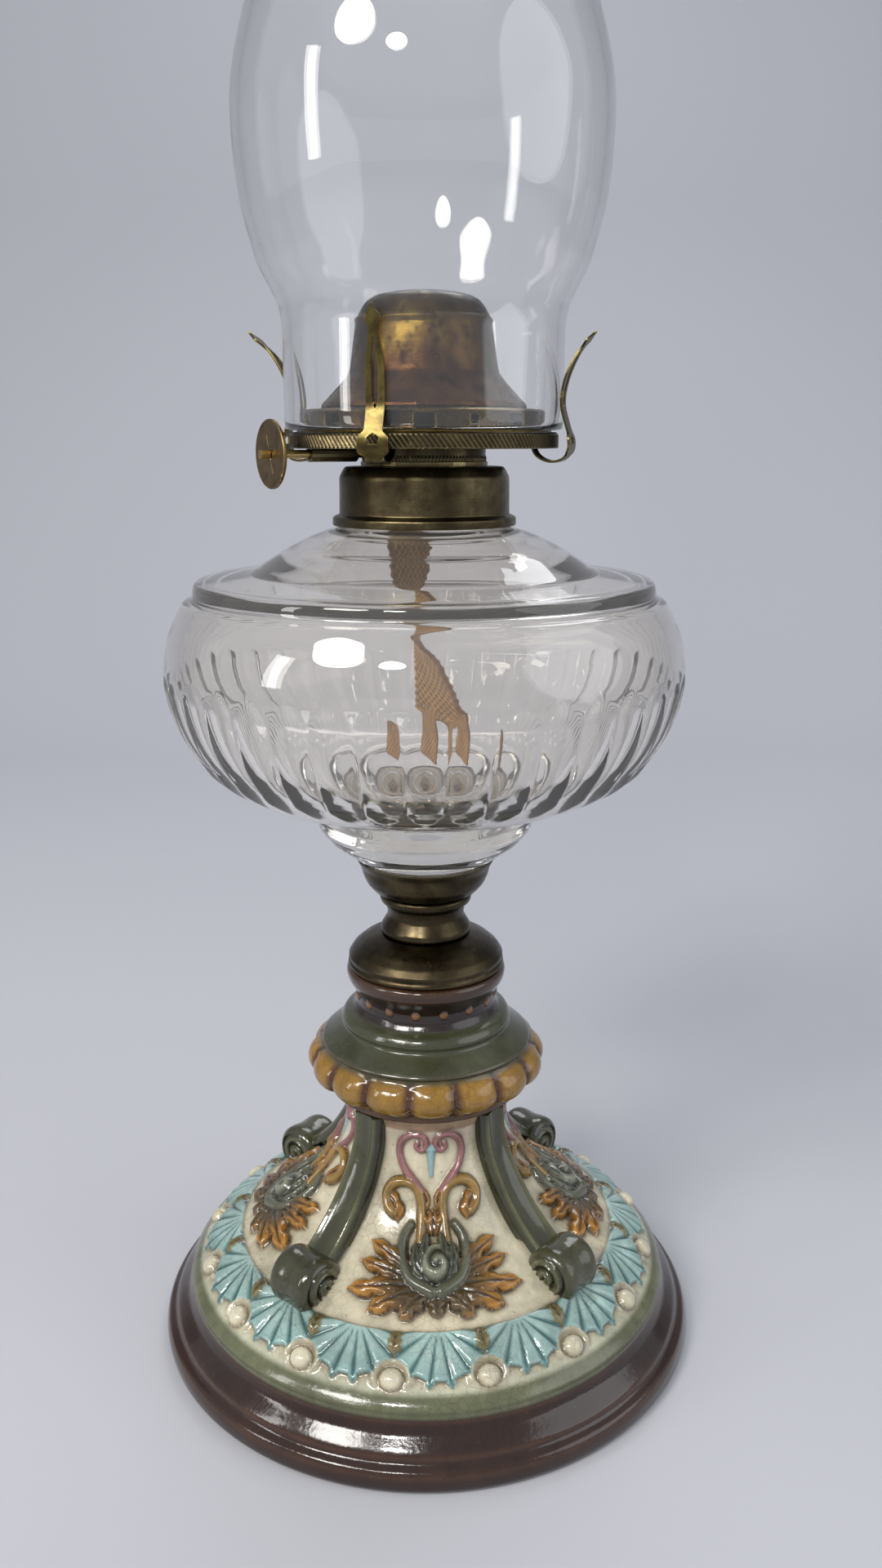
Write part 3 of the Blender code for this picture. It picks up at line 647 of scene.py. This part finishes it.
def softened(field, times):
    """A height field blurred along its rows, which close into a ring, and across them."""
    out = field.copy()
    for _ in range(times):
        out[1:-1] = 0.25 * out[:-2] + 0.5 * out[1:-1] + 0.25 * out[2:]
        out = 0.25 * np.roll(out, 1, 1) + 0.5 * out + 0.25 * np.roll(out, -1, 1)
    return out


def ceramic_base(columns=768):
    """The turned body with its relief: one quarter is worked out and repeated four times."""
    profile, zones, runs = ceramic_profile()
    quarter = columns // 4
    local = (np.arange(quarter) + 0.5) / quarter * 90.0 - 45.0
    r = np.repeat(profile[:, :1], quarter, axis=1)
    z = np.repeat(profile[:, 1:], quarter, axis=1)
    height = np.zeros_like(r)
    colour = painted(CREAM, r.shape)
    cell = (local + 45.0) % 22.5 - 11.25

    rows = zones == "flare"
    u = np.radians(local)[None, :] * r[rows]
    s = np.repeat(runs[rows][:, None], quarter, axis=1)
    ground = blend(painted(CREAM, u.shape), (0.50, 0.36, 0.30), 0.35 * smoothstep(9.0, 2.0, s))
    height[rows], colour[rows] = panel_relief(u, s, ground)

    rows = zones == "band"
    centred = (local + 45.0 + 11.25) % 22.5 - 11.25
    u = np.radians(centred)[None, :] * r[rows]
    v = np.repeat(runs[rows][:, None], quarter, axis=1)
    half = np.radians(11.25) * r[rows]
    high, tint = fan_relief(u, v, half)
    height[rows] = high * smoothstep(20.6, 18.4, v)
    colour[rows] = blend(tint, RIM_GREEN, smoothstep(15.6, 17.8, v))

    rows = zones == "bead"
    waves = np.abs(np.sin(np.radians(centred) * 8.0 + math.pi / 2))[None, :]
    height[rows] = 2.1 * (waves ** 0.5 - 1.0) * smoothstep(-1.0, 3.0, runs[rows])[:, None]
    dip = smoothstep(0.62, 0.08, waves) * np.ones((rows.sum(), 1))
    colour[rows] = blend(np.array(BEAD_AMBER), (0.07, 0.026, 0.008), dip)

    rows = zones == "drum"
    zz = z[rows]
    tone = painted(DRUM_BROWN, zz.shape)
    for low, high_z, shade in ((114.6, 115.6, RIM_BROWN), (106.6, 105.4, PLATE_GREEN)):
        tone = blend(tone, shade, smoothstep(low, high_z, zz))
    thin = np.exp(-((zz - 118.4) / 0.5) ** 2) * 0.2 + np.exp(-((zz - 95.8) / 0.7) ** 2) * 0.25
    tone = blend(tone, (0.12, 0.065, 0.028), thin)
    dots = np.hypot(np.radians(cell)[None, :] * 21.0, (zz - 110.6) / 1.0)
    height[rows] = 0.9 * np.clip(1 - (dots / 1.35) ** 2, 0.0, 1.0) ** 0.5
    colour[rows] = blend(tone, (0.16, 0.075, 0.026), smoothstep(1.45, 1.15, dots))

    rows = zones == "under"
    colour[rows] = blend(np.array((0.075, 0.032, 0.012)), (0.42, 0.30, 0.20), smoothstep(79.6, 78.0, z[rows]))

    rows = zones == "foot"
    zz = z[rows]
    tone = blend(painted(RIM_GREEN, zz.shape), AUBERGINE, smoothstep(17.6, 16.6, zz))
    thin = (np.exp(-((zz - 9.2) / 0.8) ** 2) * 0.7 + np.exp(-((zz - 5.6) / 1.2) ** 2) * 0.5
            + np.exp(-((zz - 16.2) / 0.5) ** 2) * 0.5)
    colour[rows] = blend(tone, FOOT_EDGE, np.clip(thin, 0.0, 1.0) * smoothstep(17.2, 16.6, zz))

    colour[zones == "inside"] = np.array((0.36, 0.27, 0.19))

    # Glaze pools in the hollows and wears off the crests. The hollows also carry painted shade, and painted
    # contact shade, tinted brown, darkens the ground beside the relief.
    deep = np.clip(height, 0.0, 3.0)
    blurred = softened(deep, 3)
    pooled_glaze_and_shade = np.clip((blurred - deep) * 1.5, 0.0, 0.75)
    worn = np.clip((deep - blurred) * 0.9, 0.0, 0.5)
    # Painted contact shade on the ground beside the relief, tinted brown like the glaze there.
    contact_shade_and_brown_edge = np.clip(softened(blurred, 9) * 0.80, 0.0, 0.72) * smoothstep(0.35, 0.05, deep)
    contact_shade_and_brown_edge[zones == "bead"] = 0.0
    # Painted shade in the hollows, on top of the darker pooled glaze.
    colour = blend(colour, 0.0, 0.85 * pooled_glaze_and_shade)
    colour = blend(colour, colour * np.array((0.50, 0.38, 0.22)), contact_shade_and_brown_edge)
    colour = blend(colour, np.minimum(colour * 1.5 + 0.025, 0.9), worn)

    height = np.tile(height, (1, 4))
    colour = np.tile(colour, (1, 4, 1))
    shift = int(round((PANEL - 45.0) / 360.0 * columns))
    height = np.roll(height, shift, axis=1)
    colour = np.roll(colour, shift, axis=1)
    verts, faces = grid_of(profile, columns, lambda theta, r, z: height)
    make("ceramic_body", verts, faces, GLAZE, ROOT, "ceramic_base",
         colour.reshape(-1, 3), sharp=None)


STRAP_LINE = [(27.4, 78.4), (28.2, 70.0), (31.2, 62.0), (37.2, 52.6), (43.8, 45.6), (50.4, 40.4)]
ROLL_R, ROLL_Z = 53.5, 36.4          # centre of a buttress's roll
ROLL_END = [(0.25, 8.6), (1.2, 8.6), (2.4, 8.5), (3.6, 8.4), (4.6, 8.3), (5.6, 8.1), (6.6, 7.7), (7.5, 7.1),
            (8.2, 6.2), (8.5, 5.1), (8.5, 3.6), (8.3, 1.8), (8.2, 0.0)]
COIL_PITCH = 3.3                     # growth of the coil's radius in one turn


def tube_faces(first, rings, spokes):
    """Faces of a closed tube whose rings of vertices start at number `first`."""
    faces = []
    for start in range(first, first + (rings - 1) * spokes, spokes):
        for k in range(spokes):
            a, b = start + k, start + (k + 1) % spokes
            faces.append((a, b, b + spokes, a + spokes))
    last = first + (rings - 1) * spokes
    return faces + [tuple(range(first, first + spokes)), tuple(range(last, last + spokes))]


def strap():
    """The channelled strap in the (radius, side, height) frame: vertices, colours and faces."""
    spine = np.array(curve_through(STRAP_LINE, 38))
    along = np.gradient(spine, axis=0)
    along /= np.hypot(along[:, 0], along[:, 1])[:, None]
    out = np.stack([-along[:, 1], along[:, 0]], axis=1)
    count = len(spine)
    section = np.linspace(-1.0, 1.0, 21)
    edge = 1.0 - np.abs(section) ** 8
    bead = 0.75 * np.exp(-((np.abs(section) - 0.74) / 0.16) ** 2)
    lift = (bead - 0.2475 * np.cos(section * math.pi)) * edge - 1.8 * (1 - edge)
    verts, colours = [], []
    for i in range(count):
        half = 4.9 + 1.1 * smoothstep(0.1, 0.9, np.array(i / (count - 1)))
        for x, up in zip(section, lift):
            place = spine[i] + out[i] * up
            verts.append((place[0], x * half, place[1]))
            # Painted highlight on the strap's raised edges and painted shade down its channel: the colour
            # follows how far the surface is lifted.
            shade = 0.5 + 0.5 * float(np.clip(up, -0.6, 0.6) / 0.6)
            colours.append(tuple(c * (0.55 + 1.15 * shade ** 1.5) for c in STRAP_GREEN))
        for x in section[::-1]:
            place = spine[i] - out[i] * (4.2 if i < 30 else 2.2)
            verts.append((place[0], x * half * 0.94, place[1]))
            colours.append(DEEP_GREEN)
    return verts, colours, tube_faces(0, count, 2 * len(section))


def roll(first):
    """The roll at the strap's foot, with a coil sunk in each end; `first` is its first vertex's number."""
    outline = resampled(ROLL_END + [(r, -y) for r, y in ROLL_END[-2::-1]], 0.2, 0.8, False)
    spokes = 96
    verts, colours = [], []
    for ring_r, ring_y in outline:
        eye = float(smoothstep(0.3, 1.1, np.array(ring_r)))
        shoulder = float(smoothstep(7.0, 6.0, np.array(ring_r)))
        on_end = float(smoothstep(7.4, 8.0, np.array(abs(ring_y))))
        for a in np.linspace(0.0, 2 * math.pi, spokes, endpoint=False):
            coil = ((ring_r - 1.0) / COIL_PITCH - a / (2 * math.pi)) % 1.0
            groove = math.exp(-((coil - 0.5) / 0.15) ** 2) * shoulder * eye
            ridge = float(smoothstep(0.30, 0.05, np.array(min(coil, 1 - coil)))) * (ring_r < 6.6) * eye
            depth = (1.2 * groove - 0.4 * ridge) * on_end
            verts.append((ROLL_R + ring_r * math.cos(a), ring_y - math.copysign(depth, ring_y),
                          ROLL_Z + ring_r * math.sin(a)))
            # Painted shade in the coil's sunk groove and a painted highlight along its ridge on each end.
            tone = 0.85 - 0.55 * groove + 0.75 * ridge * (abs(ring_y) > 5.0)
            colours.append(tuple(c * tone for c in STRAP_GREEN))
    return verts, colours, tube_faces(first, len(outline), spokes)


def buttress(index, azimuth):
    """A scroll buttress: a channelled strap down the flare that ends in a roll."""
    verts, colours, faces = strap()
    roll_verts, roll_colours, roll_faces = roll(len(verts))
    turn = Matrix.Rotation(math.radians(azimuth), 3, "Z")
    turned = [tuple(turn @ Vector(v) * MM) for v in verts + roll_verts]
    face_outward(make(f"scroll_buttress_{index}", turned, faces + roll_faces, GLAZE, ROOT,
                      colours=np.array(colours + roll_colours), sharp=50.0))


# ---- Glass ----
CHIMNEY_WALL = 2.2


def flute_lift(theta, r, z):
    """Concave cut flutes around the lower half of the font's outside."""
    count = 40
    pitch = 2 * math.pi / count
    across = ((theta + pitch / 2) % pitch - pitch / 2) * r
    outer = (r > 40.0) & (z > 150.0)
    belly = smoothstep(213.5, 206.0, z) * smoothstep(179.0, 187.0, z)
    cut = np.clip(1.35 * belly - 0.036 * across ** 2, 0.0, None)
    return -cut * outer * outer_side(r, z)


def outer_side(r, z):
    """1 on the font's outer wall, 0 on its inner wall."""
    wall_r = np.interp(z, [176.0, 180.4, 187.2, 196.8, 208.0, 218.0, 226.0],
                       [34.0, 48.0, 59.0, 66.4, 69.8, 69.0, 65.6])
    return (r > wall_r + 1.2).astype(float)


def glass_parts():
    """The font with its cut flutes, and the chimney with its real wall."""
    neck = [(18.6, 259.5), (20.2, 259.5), (20.2, 250.4)]
    shoulder = [(25.4, 250.0), (32.0, 247.5), (40.0, 243.6), (45.8, 239.8), (49.0, 237.8), (51.0, 237.6)]
    ledge = [(61.6, 236.4), (64.2, 235.6), (64.9, 234.0), (64.9, 231.6), (66.0, 230.9), (67.8, 230.2)]
    bowl = curve_through([(69.4, 227.4), (72.5, 220.0), (73.9, 211.0), (73.2, 203.0), (70.2, 193.8),
                          (64.2, 184.8), (56.0, 178.4), (45.0, 174.0), (34.0, 171.6)], 40)
    foot = [(32.0, 170.6), (32.5, 167.6), (31.4, 163.4), (28.2, 159.6), (23.6, 156.2), (20.2, 153.6)]
    peg = [(12.0, 153.6), (12.0, 150.2), (0.0, 150.2)]
    inside = [(0.0, 176.0)] + curve_through(
        [(34.0, 177.0), (48.0, 180.4), (59.0, 187.2), (66.4, 196.8), (69.8, 208.0), (69.0, 218.0),
         (65.6, 226.0), (61.0, 231.6)], 30) + [(46.0, 235.8), (34.0, 242.4), (26.0, 246.2), (18.6, 247.6)]
    lathe("font_glass", neck + shoulder + ledge + bowl + foot + peg + inside, FONT_GLASS, ROOT,
          "glass_font", steps=560, step=0.8, lift=flute_lift, sharp=None)
    upper = curve_through([(26.6, 516.0), (25.6, 500.0), (26.0, 470.0), (28.4, 442.0), (34.6, 411.0),
                           (43.6, 384.0), (48.6, 366.0), (49.7, 352.0), (48.2, 334.0), (44.2, 318.4)], 90)
    fitter = [(40.8, 312.0), (38.8, 308.0), (38.1, 303.0), (38.1, 290.0), (38.1, 275.9)]
    lathe("chimney_glass", with_inside(upper + fitter, CHIMNEY_WALL), CHIMNEY_GLASS, "chimney_glass",
          "chimney", steps=160, step=1.0, soft=2.0, sharp=None)


# ---- Brass ----
CONE_WALL = 0.7
FLAME_SLOT = (27.6, 5.0, 16.0)       # the cutter's length, width and height, in mm


def stem_parts():
    """The turned stem on its rod, and the threaded collar on the font's neck."""
    bore = 3.3
    for name, points, node in (
            ("cap_dome", [(bore, 129.6), (13.6, 129.6), (16.6, 128.6), (19.6, 127.0), (22.0, 125.0),
                          (23.5, 122.8), (23.0, 121.5), (23.7, 120.8), (23.5, 119.9), (22.4, 119.9),
                          (21.6, 122.6), (19.4, 125.0), (16.6, 126.8), (bore, 127.8)], "stem_cap"),
            ("turned_neck", [(bore, 142.4), (13.2, 142.4), (13.9, 141.4), (13.5, 139.8), (12.0, 138.6),
                             (11.5, 136.6), (11.5, 135.2), (12.4, 133.6), (13.5, 131.8), (13.6, 130.4),
                             (13.2, 129.9), (bore, 129.9)], "stem_neck"),
            ("flared_cup", [(20.6, 153.2), (19.3, 150.8), (18.8, 148.6), (17.7, 146.0), (15.8, 143.7),
                            (13.6, 142.7), (bore, 142.7), (bore, 144.2), (13.2, 144.2), (15.8, 146.0),
                            (17.4, 148.6), (18.0, 150.8), (19.8, 153.2)], "font_cup")):
        lathe(name, points, STEM_BRASS, ROOT, node, step=0.35)
    collar = [(16.1, 266.5), (21.9, 266.5), (22.6, 265.6), (23.5, 263.8), (23.6, 263.0), (23.7, 253.6),
              (24.6, 253.4), (25.6, 252.8), (25.6, 250.6), (22.2, 250.6), (22.2, 265.3), (17.1, 265.3),
              (17.1, 254.5), (16.1, 254.5)]
    lathe("threaded_collar", collar, BRASS, ROOT, "font_collar", step=0.35)


def knurl(theta, r, z):
    """Slanted grooves around the gallery ring's rim."""
    grooves = 168
    rim = (r > 36.6) & (z > 271.6) & (z < 274.7)
    wave = 0.5 + 0.5 * np.cos(grooves * theta + (z - 273.0) * 3.4)
    return -0.34 * wave ** 2 * rim


def milled(theta, r, z):
    """Small beads around the skirt's foot."""
    foot = (r > 16.8) & (z < 269.0) & (z > 267.9)
    return 0.22 * (0.5 + 0.5 * np.cos(110 * theta)) * foot


def burner_parts():
    """The knurled ring, the skirt below it, the slotted cone and the deck."""
    lip = 274.8
    ring = [(31.4, 275.6), (36.2, 275.6), (36.9, 275.0), (36.9, 271.3), (36.1, 271.3), (36.1, lip),
            (31.4, lip)]
    lathe("knurled_ring", ring, BRASS, BURNER, "gallery_ring", steps=1344, step=0.32,
          lift=knurl)
    floor = 275.2
    shell = [(15.5, floor), (31.0, floor), (31.0, floor - 0.8), (24.0, floor - 1.4), (17.8, floor - 2.2),
             (17.0, floor - 3.0), (17.0, 267.8), (16.2, 267.8), (16.2, floor - 2.0), (15.2, floor - 0.8)]
    lathe("burner_skirt", shell, BRASS, BURNER, "burner_shell", steps=880, step=0.35,
          lift=milled)
    outer = curve_through([(2.0, 312.5), (9.0, 312.2), (13.4, 311.0), (15.8, 309.0), (17.4, 306.4)], 20)
    outer += [(18.0, 305.2), (18.7, 304.9), (18.8, 304.3), (18.5, 303.7), (19.1, 299.5), (20.0, 293.2),
              (20.5, 291.0), (22.4, 288.6), (25.4, 285.4), (28.0, 282.8), (28.2, 281.8)]
    obj = lathe("flame_cone", with_inside(outer, CONE_WALL), COPPER, "cone", "burner_cone",
                steps=96)
    cut_with(obj, cutter("flame_slot_cutter", FLAME_SLOT, (0, 0, 316.5), WICK_AZIMUTH))
    deck()


def cutter(name, size, centre, turn):
    """A box turned about the lamp's axis, for one cut."""
    half = Vector(size) * 0.5 * MM
    corners = [Vector((x, y, z)) for x in (-1, 1) for y in (-1, 1) for z in (-1, 1)]
    matrix = Matrix.Translation(Vector(centre) * MM) @ Matrix.Rotation(math.radians(turn), 4, "Z")
    verts = [tuple(matrix @ Vector((c.x * half.x, c.y * half.y, c.z * half.z))) for c in corners]
    return mesh_object(name, verts, [(0, 1, 3, 2), (4, 6, 7, 5), (0, 4, 5, 1), (2, 3, 7, 6), (0, 2, 6, 4),
                                     (1, 5, 7, 3)])


def cut_with(obj, tool):
    """Applies a Boolean difference to the piece's own mesh and deletes the tool."""
    step = obj.modifiers.new("cut", "BOOLEAN")
    step.operation = "DIFFERENCE"
    step.solver = "EXACT"
    step.object = tool
    bpy.context.view_layer.update()
    seen = obj.evaluated_get(bpy.context.evaluated_depsgraph_get())
    mesh = bpy.data.meshes.new_from_object(seen)
    obj.modifiers.remove(step)
    obj.data = mesh
    mesh.set_sharp_from_angle(angle=math.radians(40))
    bpy.data.objects.remove(tool, do_unlink=True)


def deck():
    """The perforated deck: a drum wall with wide and small holes by turns, a flat top and a foot flange."""
    columns, top, foot = 384, 281.5, 275.9
    holes, wide_half, small_half = 16, 2.5, 0.95
    path = [(23.5, top), (27.0, top), (31.6, top), (32.4, top - 0.1), (33.0, top - 0.6)]
    path += [(33.0, top - 0.6 - 0.35 * k) for k in range(1, 13)]
    path += [(33.1, foot + 0.35), (33.5, foot + 0.1), (34.9, foot + 0.1)]
    verts, faces = [], []
    for r, z in path:
        for k in range(columns):
            a = 2 * math.pi * k / columns
            verts.append((r * math.cos(a) * MM, r * math.sin(a) * MM, z * MM))
    for i in range(len(path) - 1):
        middle = (path[i][1] + path[i + 1][1]) / 2
        for k in range(columns):
            cell = (k + 0.5) / columns * holes
            near = min(abs(cell - round(cell)), 1.0) * 2 * math.pi / holes * 33.0
            wide = int(round(cell)) % 2 == 0
            if wide and near < wide_half and 277.6 < middle < 280.2:
                continue
            if not wide and near < small_half and 278.1 < middle < 280.0:
                continue
            a, b = i * columns + k, i * columns + (k + 1) % columns
            faces.append((a, a + columns, b + columns, b))
    obj = make("perforated_deck", verts, faces, DECK_BRASS, BURNER, "burner_deck")
    sheet = obj.modifiers.new("sheet", "SOLIDIFY")
    sheet.thickness = 0.6 * MM
    sheet.offset = -1.0


def thumb_disc():
    """The milled disc on the wick shaft, with a threaded stub at its centre."""
    along, across = direction(WICK_AZIMUTH), direction(WICK_AZIMUTH - 90)
    origin = across * SHAFT_OFFSET + Vector((0, 0, SHAFT_Z))
    place = Matrix.Translation(origin * MM) @ along.to_track_quat("Z", "Y").to_matrix().to_4x4()

    def turned(name, points, steps, mat, node=None):
        profile = resampled(points, 0.18, 0.18, True)
        verts, faces = grid_of(profile, steps)
        moved = [tuple(place @ Vector(v)) for v in verts.tolist()]
        face_outward(make(name, moved, faces, mat, "wick_wheel", node))

    turned("milled_disc", [(1.4, 43.15), (8.4, 43.15), (8.7, 43.05), (9.0, 43.2), (9.0, 44.0), (8.7, 44.15),
                           (8.4, 44.05), (1.4, 44.05)], 180, DISC_BRASS, "thumb_disc")
    threads = []
    for k in range(8):
        z = 44.35 + 0.3 * k
        threads += [(1.12, z), (0.86, z + 0.15)]
    turned("disc_stub", [(0.3, 44.25)] + threads + [(0.7, 46.8), (0.3, 46.85)], 40, IRON)


PRONG_PATH = [(35.2, 274.0), (33.6, 274.0), (31.9, 273.2), (31.2, 271.6), (32.0, 269.8), (33.9, 268.5),
              (36.6, 267.9), (39.4, 268.7), (41.1, 270.9), (41.2, 273.8), (40.1, 277.4), (38.9, 281.6),
              (38.8, 285.0)]
UPRIGHT_BLADE = ((39.0, 290.4), (39.3, 295.8), (39.8, 300.8), (41.2, 305.4))
BENT_BLADE = ((39.8, 289.6), (41.9, 294.2), (44.3, 297.7), (47.2, 300.9))


def prong(index, azimuth, lean, stretch, body):
    """A spring leaf with a five-sided hole in its foot, a long slot and a pointed tip that swells just before
    its point.
    """
    rows = 150
    root_r, root_z = PRONG_PATH[-1]
    blade_points = [(root_r + (a + (c - a) * lean - root_r) * stretch,
                     root_z + (b + (d - b) * lean - root_z) * stretch)
                    for (a, b), (c, d) in zip(UPRIGHT_BLADE, BENT_BLADE)]
    line = curve_through(PRONG_PATH + blade_points, rows)
    halves = []
    for i in range(rows):
        part = i / (rows - 1)
        blade = 2.5 - 1.5 * float(smoothstep(0.80, 0.95, np.array(part)))
        foot = 4.15 * float(smoothstep(0.42, 0.50, np.array(part)) * smoothstep(0.64, 0.56, np.array(part)))
        tip = 1.1 * math.exp(-((part - 0.955) / 0.018) ** 2)
        tip -= 0.9 * float(smoothstep(0.965, 1.0, np.array(part)))
        halves.append(max(0.25, max(blade, foot) + tip))

    def holes(i, w):
        part = i / (rows - 1)
        if 0.68 < part < 0.90:
            room = 0.95 * math.sin(math.pi * (part - 0.68) / 0.22) ** 0.35
            return abs(w) < room
        x = (part - 0.555) * 74.0            # mm along the leaf from the middle of its foot
        return abs(w) < 1.6 and -1.5 < x < 2.3 - abs(w)

    obj = strip(f"spring_leaf_{index}", line, halves, 0.6, LEAF_BRASS, 22, holes,
                Matrix.Rotation(math.radians(azimuth), 4, "Z"))
    placed(obj, body, f"prong_{index}")


# ---- Wick ----
def wick():
    """A flat woven ribbon: plain weave pushed into its faces, a thick selvage on each edge."""
    stations = [(311.4, 0.0, 0.0, 211.0), (296.0, 0.0, 0.0, 211.0), (278.0, 0.0, 0.0, 211.0),
                (263.0, 0.0, 0.0, 211.0), (255.0, 0.0, 0.0, 211.0), (249.0, -2.0, -0.3, 228.0),
                (242.0, -3.8, -0.8, 244.0), (233.0, -4.0, -1.2, 256.0), (224.0, -2.6, -1.8, 268.0),
                (214.0, 0.4, -2.4, 284.0), (203.0, 3.2, -3.0, 297.0), (191.0, 4.0, -3.0, 303.0),
                (180.6, 2.5, -2.5, 305.0)]
    rows, across, width, thick = 420, 72, 25.0, 1.5
    line = np.array(curve_through(stations, rows))
    centre = np.stack([line[:, 1], line[:, 2], line[:, 0]], axis=1)
    azimuth = np.radians(line[:, 3])
    side = np.stack([np.cos(azimuth), np.sin(azimuth), np.zeros(rows)], axis=1)
    down = np.gradient(centre, axis=0)
    down /= np.linalg.norm(down, axis=1)[:, None]
    normal = np.cross(down, side)
    run = np.concatenate([[0.0], np.cumsum(np.linalg.norm(np.diff(centre, axis=0), axis=1))])
    k = np.linspace(-1.0, 1.0, across)
    warp = np.cos(k * width / 2 * 2 * math.pi / 3.4)[None, :]
    weft = np.cos(run * 2 * math.pi / 2.4)[:, None]
    weave = 0.26 * np.sign(warp) * np.abs(warp) ** 0.6 * np.sign(weft) * np.abs(weft) ** 0.6
    selvage = 0.18 * smoothstep(0.90, 0.96, np.abs(k))[None, :]
    verts, colours = [], []
    for face in (1, -1):
        bulge = (thick / 2 * np.sqrt(np.clip(1 - np.abs(k) ** 14, 0.02, 1)))[None, :] + weave * face + selvage
        place = (centre[:, None, :] + side[:, None, :] * (k * width / 2)[None, :, None]
                 + normal[:, None, :] * (bulge * face)[..., None])
        verts.append(place.reshape(-1, 3))
        # Painted light on the weave's raised threads and painted shade in its dips.
        tone = np.clip(0.78 + 1.7 * weave * face, 0.10, 1.6)
        lower = smoothstep(232.0, 214.0, line[:, 0])[:, None]
        tone = tone * (0.8 + 0.35 * lower)
        char = smoothstep(306.0, 311.0, line[:, 0])[:, None]
        dark = 0.6 * smoothstep(0.88, 0.95, k)[None, :]
        shade = blend(np.array((0.40, 0.205, 0.048)) * tone[..., None], (0.10, 0.05, 0.03), dark)
        shade = blend(shade, (0.02, 0.015, 0.012), char)
        colours.append(np.clip(shade, 0.005, 1.0).reshape(-1, 3))
    total = rows * across
    faces = []
    for i in range(rows - 1):
        for j in range(across - 1):
            a = i * across + j
            for b in (a, a + total):
                faces.append((b, b + 1, b + across + 1, b + across))
        for a in (i * across, i * across + across - 1):
            faces.append((a, a + across, total + a + across, total + a))
    for first in (0, (rows - 1) * across):
        faces += [(a, a + 1, total + a + 1, total + a) for a in range(first, first + across - 1)]
    obj = make("cotton_wick", np.vstack(verts) * MM, faces, COTTON, "wick_ribbon", "wick",
               np.vstack(colours), sharp=None)
    face_outward(obj)


DISC_BRASS = brass_material("disc_brass", (0.13, 0.085, 0.035), (0.22, 0.15, 0.06), (0.36, 0.26, 0.11),
                            (0.24, 0.42), turned=False)

ceramic_base()
for number in range(4):
    buttress(number + 1, 45.0 + BASE_TURN + 90.0 * number)
glass_parts()
stem_parts()
burner_parts()
thumb_disc()
for number, (azimuth, lean, stretch, body) in enumerate((
        (-108.0, 0.0, 1.0, "prong_front_left"), (-18.0, 1.0, 1.0, "prong_right"),
        (72.0, 0.9, 1.0, "prong_back_right"), (162.0, 1.35, 1.25, "prong_left"))):
    prong(number + 1, azimuth, lean, stretch, body)
wick()

for node, mat in (("tie_rod", IRON), ("rod_nut", IRON), ("rod_washer", IRON), ("cup_nut", IRON),
                  ("cup_plaster", PLASTER), ("collar_plaster", PLASTER), ("burner_thread_ring", BRASS),
                  ("wick_tube", BRASS), ("wick_shaft", DISC_BRASS), ("feed_wheel_1", BRASS),
                  ("feed_wheel_2", BRASS), ("shaft_sleeve", BRASS)):
    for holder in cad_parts[node].material_slots:
        holder.material = mat

# ---- Stage: floor, light and camera ----
world = bpy.data.worlds.new("studio")
bpy.context.scene.world = world
world.use_nodes = True
world.node_tree.nodes["Background"].inputs["Color"].default_value = (0.58, 0.60, 0.64, 1.0)
world.node_tree.nodes["Background"].inputs["Strength"].default_value = 0.85


def stage_material(name, colour):
    n = Nodes(name)
    n.set(Base_Color=colour, Roughness=0.85)
    return n.mat


SWEEP_Y, SWEEP_R = 0.75, 0.55
bend = [math.radians(a) for a in range(0, 91, 5)]
sweep = ([(-3.0, 0.0)] + [(SWEEP_Y + SWEEP_R * math.sin(a), SWEEP_R * (1 - math.cos(a))) for a in bend]
         + [(SWEEP_Y + SWEEP_R, 3.0)])
backdrop = mesh_object("backdrop", [(x, y, z) for y, z in sweep for x in (-3.0, 3.0)],
                       [(2 * i, 2 * i + 1, 2 * i + 3, 2 * i + 2) for i in range(len(sweep) - 1)],
                       stage_material("pale_backdrop", (0.475, 0.48, 0.515)))
backdrop.data.shade_smooth()


def area_light(name, place, target, size, power, colour=(1.0, 1.0, 1.0), shape="RECTANGLE"):
    data = bpy.data.lights.new(name, "AREA")
    data.shape = shape
    data.size, data.size_y = size
    data.energy = power
    data.color = colour
    obj = linked(name, data)
    obj.location = place
    obj.rotation_euler = (Vector(target) - Vector(place)).to_track_quat("-Z", "Y").to_euler()


area_light("key", (-0.75, -0.85, 1.05), (0, 0, 0.2), (0.5, 0.42), 11.0, (1.0, 0.97, 0.93), "ELLIPSE")
area_light("fill", (1.3, -0.5, 0.7), (0, 0, 0.2), (1.3, 1.3), 5.5, (0.93, 0.96, 1.0), "ELLIPSE")
area_light("ring", (-0.16, -0.62, 0.62), (0, 0, 0.2), (0.13, 0.09), 1.6, (1.0, 0.98, 0.95), "ELLIPSE")
area_light("strip", (-1.0, -0.45, 0.55), (0, 0, 0.28), (0.14, 0.50), 1.8, (1.0, 0.99, 0.97))
area_light("back", (0.2, 0.9, 1.3), (0, 0, 0.25), (0.9, 0.5), 6.0, (0.95, 0.97, 1.0))

camera_data = bpy.data.cameras.new("camera")
camera_data.sensor_fit = "VERTICAL"
camera_data.sensor_height = 36.0
camera_data.lens = 29.68
camera = linked("camera", camera_data)       # placed as solved from the photograph
camera.location = (0.0, -0.3689, 0.2732)
camera.rotation_euler = (math.radians(90.0 - 14.85), 0.0, math.radians(-0.72))
bpy.context.scene.camera = camera
bpy.context.scene.view_settings.view_transform = "Standard"
